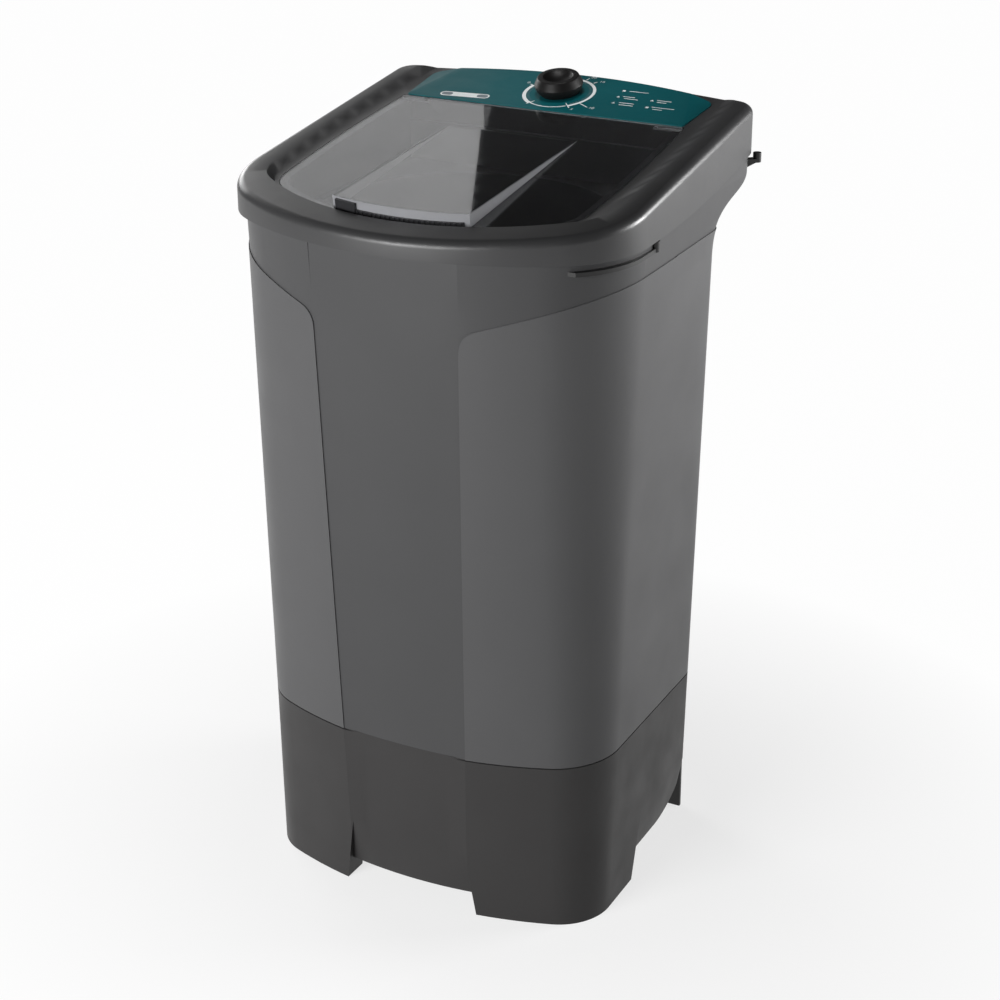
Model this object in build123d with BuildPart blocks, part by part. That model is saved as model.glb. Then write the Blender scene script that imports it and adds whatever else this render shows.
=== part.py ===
"""Free-standing top-loading washing machine with a belt-driven agitator, in millimetres.

X runs across the machine, the front faces -Y and Z is up. The origin is on the floor, below
the middle of the outline. The cabinet leans outwards to the top, its plan has a bowed front,
and the top rim, the lid and the control panel lie on a deck plane that falls to the front.
"""

from build123d import *
import os
from math import cos, hypot, radians, sin, sqrt, tan

# Cabinet and skirt
floor_half_width = 218.0
shoulder_half_width = 235.5
floor_front = -202.0
shoulder_front = -240.5
corner_y = -153.0
floor_corner_radius = 66.0
shoulder_corner_radius = 128.0
shoulder_height = 800.0
cabinet_top = 848.0
back_wall_y = 131.5
back_corner_radius = 32.0
wall = 3.0
relief = 1.2
relief_top = 0.4
side_draw_share = 0.017
corner_shift_share = 0.46
body_seam_height = 209.3
seam_gap = 1.6
least_radius = 4.0
overrun = 1.0
contact_gap = 0.3

# Overhang at the back of the cabinet
flare_back_y = 241.0
flare_corner_y = 218.0
flare_corner_radius = 24.0
flare_low = 738.0
flare_high = 810.0
flare_low_pull = 63.0
flare_high_pull = 26.0
flare_levels = 8
flare_wall_share = 0.8

# Seam between the cabinet and the top rim, level in front and rising to the back
rim_seam_height = 800.0
rim_seam_start_y = -94.0
rim_seam_radius = 1470.0
rim_seam_gap = 1.2
seam_end_y = 300.0

# Raised side panels and the channel down the middle of the front
border_floor_x = 76.5
border_slope = 0.0157
border_top_height = 721.5
border_top_slope = 0.302
border_corner_radius = 22.0
panel_band = 33.0
channel_half_floor = 50.0
channel_floor_depth = 4.6
channel_middle_depth = 5.6

# Skirt with two moulded front feet
recess_top = 88.0
recess_floor_depth = 13.7
recess_edge_height = 24.0
recess_floor_half_width = 87.0
recess_top_half_width = 74.0
foot_back_floor_y = -43.0
foot_back_top_y = -21.0
foot_depth = 33.0
side_arch_y = 46.0
side_arch_radius = 75.0
skirt_rear_half_opening = 150.0
skirt_rear_opening_top = 175.0
skirt_lip_rise = 9.0
skirt_lip_inset = 9.5

# Rear cover, whose lower corners are the two back feet
cover_half_width = 200.0
cover_top = 196.0
cover_plate_y = 138.0
cover_plate = 4.0
cover_corner_radius = 14.0
cover_foot_width = 62.0
cover_arch_height = 36.0
cover_side_low = 104.0
cover_boss_radius = 7.0
cover_screw_x = 175.0
cover_screw_heights = (118.0, 184.0)
cover_slot_width = 60.0
cover_slot_height = 4.0
cover_slot_pitch = 11.0
cover_slot_count = 6
cover_slot_low = 64.0
cover_slot_x = 40.0

# Deck plane of the top rim, lid and panel
deck_height = 851.8
deck_tilt = 8.0
ridge_rise = 5.0
rim_half_width = 240.6
rim_front = -246.5
rim_back = 246.5
rim_corner_y = -154.0
rim_back_corner_y = 221.0
rim_back_half_width = 232.0
rim_corner_radius = 110.0
rim_back_radius = 25.0
rim_edge_radius = 10.0
rim_wall = 4.0
rim_low = 780.0
rim_high = 925.0
rim_plate = 6.5
cut_depth = 150.0
ridge_half_width = 208.0
ridge_front = -207.5
ridge_corner_y = -130.0
ridge_back_half_width = 203.0
ridge_side_bow = 9.0
ridge_corner_radius = 60.0
ledge_half_width = 190.0
ledge_front = -204.0
ledge_corner_y = -143.0
ledge_back_half_width = 186.0
ledge_side_bow = 8.0
ledge_corner_radius = 48.0
dish_back_y = 255.0
dish_back_bow = 22.0
dish_back_radius = 14.0
opening_inset = 10.0
opening_back_y = 135.0
opening_wall_low = 795.0
riser_step_height = 841.0
riser_step = 6.0
lip_drop = 6.5
lip_gap = 0.6
lip_wall = 5.0

# Lid
lid_half_width = 183.0
lid_front = -202.0
lid_corner_y = -143.4
lid_back_y = 133.4
lid_back_half_width = 179.3
lid_side_bow = 5.0
lid_corner_radius = 45.0
lid_back_radius = 4.0
lid_wall = 3.0
lid_gap = 0.7
lid_drop = 0.4
hinge_y = 129.0
hinge_drop = 3.0
hinge_barrel_radius = 2.9
hinge_barrel_start = 145.0
hinge_barrel_end = 176.0
hinge_swing_radius = 5.95
hinge_pin_radius = 1.5
hinge_pin_fit = 0.05
hinge_pin_start = 150.0
hinge_pin_end = 188.0
wedge_half_width = 82.0
wedge_front_y = -197.0
wedge_front_height = 839.0
wedge_back_y = 62.0
wedge_setback = 5.0
grip_low = 0.4
grip_depth = 2.4
grip_height = 5.0
grip_pad_height = 12.0
grip_rib_width = 2.0
grip_rib_depth = 1.3
grip_ribs = 22
grip_pad = 27.0
grip_half_width = 76.0
grip_reach = 60.0

# Control panel and timer
panel_front_y = 135.0
panel_front_height = 872.0
panel_tilt = 11.3
panel_half_width = 177.0
panel_back_half_width = 182.0
panel_back_y = 212.0
panel_bow = 25.0
panel_gap = 0.3
panel_front_radius = 4.0
panel_back_radius = 12.0
facet_back_x = 149.0
facet_back_y = 222.0
facet_edge_rise = 0.4
knob_y = 183.0
knob_base_radius = 22.5
knob_grip_radius = 28.5
knob_top_radius = 24.0
knob_height = 21.0
knob_grip_height = 12.0
knob_dish_radius = 18.0
knob_dish_depth = 7.0
knob_edge_radius = 1.6
knob_curve_share = 0.7
knob_gap = 0.6
shaft_radius = 3.0
shaft_hole_radius = 3.6
shaft_fit = 0.05
shaft_socket = 12.0
timer_width = 62.0
timer_length = 54.0
timer_depth = 32.0
timer_edge_radius = 4.0
timer_ear = 7.0
timer_screw_x = 40.0
timer_screw_radius = 2.0
timer_screw_length = 5.0
timer_screw_head = 2.4
shaft_drop = 24.0

# Hooks on the right side
hook_thickness = 4.5
front_hook_low = 788.0
front_hook_half_width = 238.5
front_hook_inner_x = 150.0
hook_seat_inset = 0.6
hook_flare_inset = 0.4
front_hook_start_y = -182.0
front_hook_end_y = -62.0
front_hook_tip_radius = 5.5
front_hook_tip_height = 7.0
rear_hook_low = 818.5
rear_hook_y = 221.0
rear_hook_root_x = 210.0
rear_hook_root_y = 200.0
rear_hook_reach = 238.5
rear_hook_gusset = 14.0
rear_hook_web = 3.0
rear_hook_tip_radius = 4.8
rear_hook_tip_height = 6.5

# Wash tub
tub_y = -47.0
tub_radius = 168.0
tub_floor_radius = 154.0
tub_floor_height = 303.0
tub_floor = 4.0
tub_wall = 3.0
tub_corner_radius = 26.0
flange_height = 793.0
flange_plate = 3.0
flange_inset = 7.0
flange_back_y = 146.0
support_width = 9.0
support_height = 6.0
tub_screw_radius = 2.5
tub_screw_head_radius = 5.0
tub_screw_head = 3.0
tub_screw_length = 16.0
boss_radius = 7.0
boss_places = ((205.0, -60.0), (205.0, 60.0), (118.0, -199.0))

# Lint filter in its holder on the tub wall
filter_x = 0.0
filter_width = 74.0
filter_thickness = 12.0
filter_low = 560.0
filter_height = 132.0
filter_frame = 7.0
filter_bar = 2.0
filter_bars = 5
filter_gap = 0.5
holder_wall = 2.5
holder_height = 112.0
holder_lip = 6.0

# Agitator
agitator_radius = 134.0
agitator_gap = 4.0
agitator_edge = 9.0
agitator_shoulder_radius = 42.0
agitator_shoulder_rise = 26.0
agitator_hub_radius = 27.0
agitator_hub_rise = 58.0
agitator_hub_round = 6.0
agitator_cap = 6.0
dome_share = 0.5
dome_rise_share = 0.38
agitator_vanes = 6
vane_thickness = 9.0
vane_inner_rise = 50.0
vane_outer_rise = 17.0
vane_outer_radius = 126.0
vane_middle_rise = 27.0
vane_middle_radius = 78.0

# Agitator drive
drive_shaft_radius = 8.0
drive_shaft_fit = 0.05
shaft_chamfer = 1.0
seal_radius = 13.0
bearing_radius = 16.0
bearing_width = 11.0
bearing_groove = 2.0
housing_radius = 24.0
housing_flange_radius = 58.0
housing_flange = 7.0
housing_low = 226.0
housing_web = 5.0
housing_webs = 6
housing_bolt_circle = 46.0
housing_bolts = 4
housing_bolt_start = 45.0
belt_middle_height = 206.0
belt_width = 10.0
belt_depth = 5.0
belt_gap = 0.3
belt_side_gap = 0.6
pulley_pitch_radius = 76.0
motor_pulley_pitch_radius = 19.0
pulley_flange = 2.5
pulley_flange_rise = 2.5
pulley_hub_radius = 17.0
pulley_web = 5.0
pulley_spokes = 5
pulley_window_radius = 16.0
pulley_window_circle = 44.0
nut_height = 8.0
nut_radius = 12.0
shaft_tail = 14.0

# Motor on its bracket
motor_distance = 110.0
motor_radius = 54.0
motor_height = 92.0
motor_round = 10.0
motor_boss_radius = 16.0
motor_boss = 6.0
motor_shaft_radius = 6.0
motor_fins = 28
motor_fin_depth = 2.2
motor_fin_width = 3.0
bracket_top = 189.0
bracket_plate = 4.0
bracket_half_width = 76.0
bracket_front_y = 6.0
bracket_back_y = 112.0
bracket_corner_radius = 12.0
bracket_flange = 12.0
post_places = ((62.0, 20.0), (62.0, 80.0))
post_radius = 9.0
motor_bolt_circle = 46.0
bolt_radius = 2.5
bolt_head_radius = 4.6
bolt_head = 3.2
bolt_length = 14.0
capacitor_y = 60.0
capacitor_radius = 15.0
capacitor_length = 58.0
capacitor_edge = 2.0
clamp_band = 2.0
clamp_height = 14.0
clamp_tab = 13.0
capacitor_rise = 4.0

# Drain
drain_x = 90.0
drain_y = 5.0
drain_pipe_radius = 12.5
drain_pipe_wall = 2.5
drain_socket_wall = 2.5
drain_socket_depth = 20.0
drain_bend_radius = 34.0
drain_outlet_height = 150.0
drain_spigot = 22.0
spigot_radius = 12.0
drain_collar = 3.0
drain_collar_radius = 16.5
grille_radius = 24.0
grille_thickness = 3.0
grille_hole_radius = 2.5
grille_rings = ((9.0, 6), (17.0, 12))

# Cable gland on the rear cover
gland_x = -120.0
gland_z = 150.0
gland_radius = 9.0
gland_hex_radius = 12.0
gland_hex = 6.0
gland_dome = 10.0
gland_bore_radius = 3.6
gland_nut = 5.0


# Places worked out from the sizes above
skirt_top = body_seam_height - seam_gap / 2
cabinet_low = body_seam_height + seam_gap / 2
inner_inset = relief + wall
tub_low = tub_floor_height - tub_floor
tub_top_outer = tub_radius + tub_wall
tub_floor_outer = tub_floor_radius + tub_wall
pulley_low = belt_middle_height - belt_width / 2 - belt_side_gap - pulley_flange
pulley_high = belt_middle_height + belt_width / 2 + belt_side_gap + pulley_flange


def between(low, high, share):
    return low + (high - low) * share


def half_width_at(z):
    return between(floor_half_width, shoulder_half_width, z / shoulder_height)


def front_at(z):
    return between(floor_front, shoulder_front, z / shoulder_height)


def bow_radius_at(z):
    """Radius of the bowed front in plan, from its chord and its rise."""
    rise = corner_y - front_at(z)
    return (half_width_at(z) ** 2 + rise**2) / (2 * rise)


def surface_at(z, x):
    """Y of the cabinet's front surface at a height and a distance from the middle."""
    radius = bow_radius_at(z)
    return front_at(z) + radius - sqrt(radius**2 - x**2)


def border_at(z):
    return border_floor_x + border_slope * z


def seam_height_at(y):
    """Height of the seam between the cabinet and the rim: level, then a large arc."""
    run = max(0.0, y - rim_seam_start_y)
    return rim_seam_height + rim_seam_radius - sqrt(rim_seam_radius**2 - run**2)


def deck_level(rise):
    """The deck plane, raised along its own normal."""
    tilt = radians(deck_tilt)
    plane = Plane(origin=(0, 0, deck_height), x_dir=(1, 0, 0), z_dir=(0, -sin(tilt), cos(tilt)))
    return plane.offset(rise)


def panel_level(rise):
    """The top plane of the control panel, raised along its own normal, with its origin at the knob."""
    tilt = radians(panel_tilt)
    height = panel_front_height + (knob_y - panel_front_y) * tan(tilt)
    plane = Plane(origin=(0, knob_y, height), x_dir=(1, 0, 0), z_dir=(0, -sin(tilt), cos(tilt)))
    return plane.offset(rise)


def along_deck(y):
    return y / cos(radians(deck_tilt))


def plan(level, front, front_side, back_side, front_radius, back_radius, side_bow=0.0, back_bow=0.0):
    """Plan outline with a bowed front, rounded corners and a straight or bowed back and sides."""
    half_width, side_y = front_side
    back_half_width, back_y = back_side
    middle = ((half_width + back_half_width) / 2 + side_bow, (side_y + back_y) / 2)
    with BuildSketch(level) as outline:
        with BuildLine():
            ThreePointArc((-half_width, side_y), (0, front), (half_width, side_y))
            if side_bow:
                ThreePointArc((half_width, side_y), middle, (back_half_width, back_y))
                ThreePointArc((-half_width, side_y), (-middle[0], middle[1]), (-back_half_width, back_y))
            else:
                Line((half_width, side_y), (back_half_width, back_y))
                Line((-half_width, side_y), (-back_half_width, back_y))
            if back_bow:
                ThreePointArc((back_half_width, back_y), (0, back_y + back_bow), (-back_half_width, back_y))
            else:
                Line((back_half_width, back_y), (-back_half_width, back_y))
        make_face()
        fillet(outline.vertices().group_by(Axis.Y)[0], radius=max(front_radius, least_radius))
        fillet(outline.vertices().group_by(Axis.Y)[-1], radius=max(back_radius, least_radius))
    return outline.sketch


def section(z, inset=0.0, back_y=back_wall_y, back_radius=back_corner_radius, back_bow=0.0):
    """Plan of the cabinet or skirt at a height, drawn in by the inset all round."""
    half_width = half_width_at(z) - inset
    side_y = corner_y + corner_shift_share * inset
    back = back_y - inset
    back_half_width = half_width - side_draw_share * (back - side_y)
    front_radius = between(floor_corner_radius, shoulder_corner_radius, z / shoulder_height) - inset
    return plan(
        Plane.XY.offset(z),
        front_at(z) + inset,
        (half_width, side_y),
        (back_half_width, back),
        front_radius,
        back_radius - inset,
        back_bow=back_bow,
    )


def long_section(z, inset=0.0):
    """Plan of the cabinet where it reaches back to the end of the overhang."""
    return section(z, inset, flare_corner_y, flare_corner_radius, flare_back_y - flare_corner_y)


def flare_section(share, inset):
    """Plan of the cabinet at a share of the way up the curve of its overhang.

    The curve leaves the back wall upright, sweeps out and ends upright. The hollow inside it is
    also raised, so that the wall keeps its thickness where the curve is nearly level.
    """
    curve = Bezier(
        (back_wall_y, flare_low),
        (back_wall_y, flare_low + flare_low_pull),
        (flare_corner_y, flare_high - flare_high_pull),
        (flare_corner_y, flare_high),
        mode=Mode.PRIVATE,
    )
    place = curve @ share
    reach = (place.X - back_wall_y) / (flare_corner_y - back_wall_y)
    return section(
        place.Y + flare_wall_share * inset,
        inset,
        place.X,
        between(back_corner_radius, flare_corner_radius, reach),
        max(reach * (flare_back_y - flare_corner_y), contact_gap),
    )


def body_form(low, inset, top_inset):
    """Solid bounded by the cabinet's surface from a height up, with its overhang."""
    shares = [count / (flare_levels - 1) for count in range(flare_levels)]
    curved = [flare_section(share, between(inset, top_inset, share)).face() for share in shares]
    lowest = section(low, inset, back_bow=contact_gap).face()
    with BuildPart() as form:
        loft([lowest, curved[0]], ruled=True)
        loft(curved)
        loft([curved[-1], long_section(cabinet_top, top_inset).face()], ruled=True)
    return form.part


def above_seam(rise):
    """Everything above the rim seam, raised by a distance."""
    start = (rim_seam_start_y, seam_height_at(rim_seam_start_y) + rise)
    middle_y = (rim_seam_start_y + seam_end_y) / 2
    with BuildPart() as form:
        with BuildSketch(Plane.YZ):
            with BuildLine():
                Line((-seam_end_y, start[1]), start)
                ThreePointArc(
                    start,
                    (middle_y, seam_height_at(middle_y) + rise),
                    (seam_end_y, seam_height_at(seam_end_y) + rise),
                )
                Polyline(
                    (seam_end_y, seam_height_at(seam_end_y) + rise),
                    (seam_end_y, rim_high + overrun),
                    (-seam_end_y, rim_high + overrun),
                    (-seam_end_y, start[1]),
                )
            make_face()
        extrude(amount=seam_end_y, both=True)
    return form.part


def channel(edge_depth, extra):
    """All that lies in front of the channel's floor and ramps, set back by an extra depth."""
    with BuildPart() as form:
        levels = []
        for z in (-overrun, cabinet_top + overrun):
            edge_x = border_at(z)
            edge_y = surface_at(z, edge_x) + edge_depth + extra
            floor_y = surface_at(z, channel_half_floor) + channel_floor_depth + extra
            far_y = shoulder_front - wall
            with BuildSketch(Plane.XY.offset(z)) as level:
                with BuildLine():
                    Polyline(
                        (-channel_half_floor, floor_y),
                        (-edge_x, edge_y),
                        (-edge_x, far_y),
                        (edge_x, far_y),
                        (edge_x, edge_y),
                        (channel_half_floor, floor_y),
                    )
                    ThreePointArc(
                        (channel_half_floor, floor_y),
                        (0, surface_at(z, 0) + channel_middle_depth + extra),
                        (-channel_half_floor, floor_y),
                    )
                make_face()
            levels.append(level.sketch.face())
        loft(levels, ruled=True)
    return form.part


def panel_mask():
    """Outline of the raised side panels: the border beside the channel and the line below the seam."""
    far_x = rim_half_width + overrun
    corner = (border_at(border_top_height), border_top_height)
    far_height = border_top_height + border_top_slope * (far_x - corner[0])
    side_height = border_top_height + border_top_slope * (half_width_at(border_top_height) - corner[0])
    with BuildPart() as mask:
        with BuildSketch(Plane.XZ) as face:
            with BuildLine():
                Polyline((border_at(0), 0), (far_x, 0), (far_x, far_height), corner, close=True)
            make_face()
            fillet(face.vertices().sort_by_distance(corner)[0], radius=border_corner_radius)
            mirror(about=Plane.YZ)
        extrude(amount=seam_end_y)
        with BuildSketch(Plane.XZ):
            with Locations((0, side_height / 2)):
                Rectangle(2 * far_x, side_height)
        extrude(amount=-seam_end_y)
        add(above_seam(-panel_band), mode=Mode.SUBTRACT)
    return mask.part


def raised_panels(low):
    """The raised side panels, from the border beside the channel round the back."""
    with BuildPart() as form:
        add(body_form(low, 0.0, 0.0))
        add(panel_mask(), mode=Mode.INTERSECT)
    return form.part


def ring(low, high, outer, inner):
    """Straight ring between two plan outlines of the cabinet, drawn in by two insets."""
    with BuildPart() as form:
        extrude(section(low, outer), amount=high - low)
        extrude(section(low, inner), amount=high - low, mode=Mode.SUBTRACT)
    return form.part


def cabinet_space():
    """The hollow inside the cabinet: its form drawn in by the wall, also behind the channel."""
    with BuildPart() as form:
        add(body_form(cabinet_low - overrun, inner_inset, inner_inset))
        add(channel(relief, wall), mode=Mode.SUBTRACT)
    return form.part


def straight_prism(low, high, inset):
    """Skirt form between two heights, drawn in by the inset."""
    with BuildPart() as form:
        loft([section(low, inset).face(), section(high, inset).face()])
    return form.part


def drawn_form(inset):
    """Skirt form whose lower part is drawn in towards the floor, as it is between the feet."""
    with BuildPart() as form:
        loft([section(0, recess_floor_depth + inset).face(), section(recess_top, inset).face()])
    return form.part


def between_feet(grow, high):
    """The stretches of the skirt that lie between the two front feet and behind them."""
    rise = high / recess_top
    front_top = between(recess_floor_half_width, recess_top_half_width, rise) + grow
    side_top = between(foot_back_floor_y, foot_back_top_y, rise) - grow
    with BuildPart() as form:
        with BuildSketch(Plane.XZ):
            with BuildLine():
                Polyline(
                    (-recess_floor_half_width - grow, 0),
                    (recess_floor_half_width + grow, 0),
                    (front_top, high),
                    (-front_top, high),
                    close=True,
                )
            make_face()
        extrude(amount=rim_half_width + wall)
        with BuildSketch(Plane.YZ):
            with BuildLine():
                Polyline(
                    (foot_back_floor_y - grow, 0),
                    (rim_half_width, 0),
                    (rim_half_width, high),
                    (side_top, high),
                    close=True,
                )
            make_face()
        extrude(amount=rim_half_width, both=True)
    return form.part


def recess(grow, inset):
    """What the recesses between the feet take off the skirt's form."""
    with BuildPart() as form:
        add(between_feet(grow, recess_top))
        add(drawn_form(inset), mode=Mode.SUBTRACT)
    return form.part


def below_edge():
    """All below the skirt's lower edge between the feet, which curves up to the back cover."""
    curve_y = side_arch_y + side_arch_radius
    curve_z = recess_edge_height + side_arch_radius
    share = sin(radians(45))
    with BuildPart() as form:
        add(between_feet(0.0, recess_edge_height))
        with BuildSketch(Plane.YZ):
            with BuildLine():
                Line((side_arch_y, 0), (side_arch_y, recess_edge_height))
                ThreePointArc(
                    (side_arch_y, recess_edge_height),
                    (side_arch_y + share * side_arch_radius, curve_z - share * side_arch_radius),
                    (curve_y, curve_z),
                )
                Polyline((curve_y, curve_z), (rim_half_width, curve_z), (rim_half_width, 0), (side_arch_y, 0))
            make_face()
        extrude(amount=rim_half_width, both=True)
    return form.part


def skirt_lip():
    """The skirt's lip inside the cabinet, which gives way to the back of the channel."""
    with BuildPart() as form:
        add(ring(cabinet_low, cabinet_low + skirt_lip_rise, inner_inset + contact_gap, skirt_lip_inset))
        add(channel(relief, wall + contact_gap), mode=Mode.SUBTRACT)
    return form.part


def foot_form(skin, depth, low, grow):
    """Block of the front feet between two insets, outside the recesses."""
    with BuildPart() as form:
        add(straight_prism(low, recess_top, skin))
        add(straight_prism(low - overrun, recess_top + overrun, depth), mode=Mode.SUBTRACT)
        add(between_feet(grow, recess_top), mode=Mode.SUBTRACT)
    return form.part


def skirt_space():
    """The hollow inside the skirt, which follows the channel and the recesses."""
    with BuildPart() as form:
        add(straight_prism(-overrun, skirt_top + overrun, wall))
        add(channel(0.0, wall), mode=Mode.SUBTRACT)
        add(recess(wall, wall), mode=Mode.SUBTRACT)
    return form.part


def deck_plan(level, half_width, front, side_y, back_half_width, back_y, bows, radii, grow=0.0):
    """Plan outline on a plane parallel to the deck, grown all round."""
    return plan(
        level,
        along_deck(front) - grow,
        (half_width + grow, along_deck(side_y) - corner_shift_share * grow),
        (back_half_width + grow, along_deck(back_y) + grow),
        radii[0] + grow,
        radii[1] + grow,
        side_bow=bows[0],
        back_bow=bows[1],
    )


def lid_plan(level, grow=0.0):
    return deck_plan(
        level,
        lid_half_width,
        lid_front,
        lid_corner_y,
        lid_back_half_width,
        lid_back_y,
        (lid_side_bow, 0.0),
        (lid_corner_radius, lid_back_radius),
        grow,
    )


def opening_plan(z, grow):
    """The opening under the lid, which runs back to the wall below the control panel."""
    inset = grow - opening_inset
    return plan(
        Plane.XY.offset(z),
        lid_front - inset,
        (lid_half_width + inset, lid_corner_y - corner_shift_share * inset),
        (lid_back_half_width + inset, opening_back_y + grow),
        lid_corner_radius + inset,
        lid_back_radius + grow,
        side_bow=lid_side_bow,
    )


def rim_plan(z, inset):
    return plan(
        Plane.XY.offset(z),
        rim_front + inset,
        (rim_half_width - inset, rim_corner_y + corner_shift_share * inset),
        (rim_back_half_width - inset, rim_back_corner_y - inset),
        rim_corner_radius - inset,
        rim_back_radius - inset,
        back_bow=rim_back - rim_back_corner_y,
    )


def rim_form(inset, rise):
    """The rim's block between its outline and a plane parallel to the deck."""
    with BuildPart() as form:
        extrude(rim_plan(rim_low, inset), amount=rim_high - rim_low)
        split(bisect_by=deck_level(rise), keep=Keep.BOTTOM)
    return form.part


def above_ridge(ledge_size, ridge_size):
    """A size of the dish where its slope is carried on above the ridge."""
    return ridge_size + (ridge_size - ledge_size) * overrun / ridge_rise


def dish_form():
    """The shallow dish of the deck: it falls from the ridge to the ledge round the lid."""
    ledge = deck_plan(
        deck_level(0.0),
        ledge_half_width,
        ledge_front,
        ledge_corner_y,
        ledge_back_half_width,
        dish_back_y,
        (ledge_side_bow, dish_back_bow),
        (ledge_corner_radius, dish_back_radius),
    )
    upper = deck_plan(
        deck_level(ridge_rise + overrun),
        above_ridge(ledge_half_width, ridge_half_width),
        above_ridge(ledge_front, ridge_front),
        above_ridge(ledge_corner_y, ridge_corner_y),
        above_ridge(ledge_back_half_width, ridge_back_half_width),
        dish_back_y,
        (above_ridge(ledge_side_bow, ridge_side_bow), dish_back_bow),
        (above_ridge(ledge_corner_radius, ridge_corner_radius), dish_back_radius),
    )
    with BuildPart() as form:
        loft([ledge.face(), upper.face()], ruled=True)
    return form.part


def panel_plan(grow):
    """Outline of the control panel on the deck plane."""
    with BuildSketch(deck_level(0.0)) as outline:
        with BuildLine():
            front = along_deck(panel_front_y) - grow
            back = along_deck(panel_back_y) + grow
            half_front = panel_half_width + grow
            half_back = panel_back_half_width + grow
            Polyline((-half_back, back), (-half_front, front), (half_front, front), (half_back, back))
            ThreePointArc((half_back, back), (0, back + panel_bow), (-half_back, back))
        make_face()
        fillet(outline.vertices().group_by(Axis.Y)[0], radius=panel_front_radius + grow)
        fillet(outline.vertices().group_by(Axis.Y)[-1], radius=panel_back_radius + grow)
    return outline.sketch


def across(x, y, z, side):
    """Plane square to X at a place, looking outwards to the given side."""
    return Plane(origin=(x, y, z), x_dir=(0, side, 0), z_dir=(side, 0, 0))


def upright(level):
    """Plane that stands on a level plane at its origin, with the level's normal as its own Y."""
    return Plane(origin=level.origin, x_dir=level.x_dir, z_dir=-level.y_dir)


def panel_axis():
    level = panel_level(0.0)
    return Axis(level.origin, level.z_dir)


def rim_space():
    """The hollow of the rim, between its outer skin, its top plate and the wall of the opening."""
    with BuildPart() as form:
        add(rim_form(rim_wall, -rim_plate))
        extrude(opening_plan(rim_low, lid_wall), amount=rim_high - rim_low, mode=Mode.SUBTRACT)
    return form.part


def rim_shelf():
    """The rim's narrow foot along the seam and the lip that hangs from it inside the cabinet."""
    tall = rim_high - rim_low
    outside = long_section(shoulder_height, inner_inset + lip_gap)
    inside = long_section(shoulder_height, inner_inset + lip_gap + lip_wall)
    with BuildPart() as lip:
        extrude(outside, amount=tall, both=True)
        extrude(inside, amount=tall, both=True, mode=Mode.SUBTRACT)
        add(above_seam(-lip_drop), mode=Mode.INTERSECT)
        add(channel(relief, wall + lip_gap), mode=Mode.SUBTRACT)
    with BuildPart() as form:
        extrude(rim_plan(rim_low, rim_wall - overrun), amount=tall)
        extrude(inside, amount=tall, both=True, mode=Mode.SUBTRACT)
        add(above_seam(rim_seam_gap / 2), mode=Mode.INTERSECT)
        add(lip.part)
        add(above_seam(rim_seam_gap / 2 + lip_wall), mode=Mode.SUBTRACT)
    return form.part


def opening_wall():
    """The wall round the opening, from just above the tub's flange up into the rim's plate."""
    with BuildPart() as form:
        extrude(opening_plan(opening_wall_low, lid_wall), amount=rim_high - opening_wall_low)
        split(bisect_by=deck_level(-rim_plate + overrun), keep=Keep.BOTTOM)
    return form.part


def riser_ledge():
    """The thicker lower part of the wall below the control panel."""
    ledge_y = opening_back_y - riser_step
    with BuildPart() as form:
        extrude(opening_plan(opening_wall_low, overrun), amount=riser_step_height - opening_wall_low)
        with BuildSketch(Plane.XY.offset(opening_wall_low)):
            with BuildLine():
                Polyline(
                    (-rim_half_width, ledge_y),
                    (rim_half_width, ledge_y),
                    (rim_half_width, rim_back),
                    (-rim_half_width, rim_back),
                    close=True,
                )
            make_face()
        extrude(amount=riser_step_height - opening_wall_low, mode=Mode.INTERSECT)
    return form.part


def rim_boss(x, y):
    """Screw boss under the rim's plate that stands on the tub's flange."""
    with BuildPart() as form:
        with BuildSketch(Plane.XY.offset(flange_height)):
            with Locations((x, y)):
                Circle(boss_radius)
                Circle(tub_screw_radius, mode=Mode.SUBTRACT)
        extrude(amount=rim_high - flange_height)
        split(bisect_by=deck_level(-rim_plate + overrun), keep=Keep.BOTTOM)
    return form.part


def flange_plan(z):
    """The tub's flange, which follows the inside of the cabinet and runs back over its cross bar."""
    return section(z, flange_inset, flange_back_y, least_radius + flange_inset)


def drum(top_radius, floor_radius, low, high, corner_radius):
    """Tapering round drum with a rounded foot."""
    with BuildPart() as form:
        with BuildSketch(Plane.XZ.offset(-tub_y)) as half:
            with BuildLine():
                Polyline((0, low), (floor_radius, low), (top_radius, high), (0, high), close=True)
            make_face()
            fillet(half.vertices().sort_by_distance((floor_radius, low))[0], radius=corner_radius)
        revolve(axis=Axis((0, tub_y, 0), (0, 0, 1)))
    return form.part


def filter_back():
    """Y of the lint filter's back, just clear of the drum's wall at the filter's lower corners."""
    share = (filter_low - tub_floor_height) / (flange_height - tub_floor_height)
    radius = between(tub_floor_radius, tub_radius, share)
    return tub_y + sqrt(radius**2 - (filter_width / 2 + filter_gap) ** 2) - 2 * filter_gap


def upright_box(half_width, front_y, back_y, low, high):
    with BuildPart() as form:
        with BuildSketch(Plane.XY.offset(low)):
            with Locations((filter_x, (front_y + back_y) / 2)):
                Rectangle(2 * half_width, back_y - front_y)
        extrude(amount=high - low)
    return form.part


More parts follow.
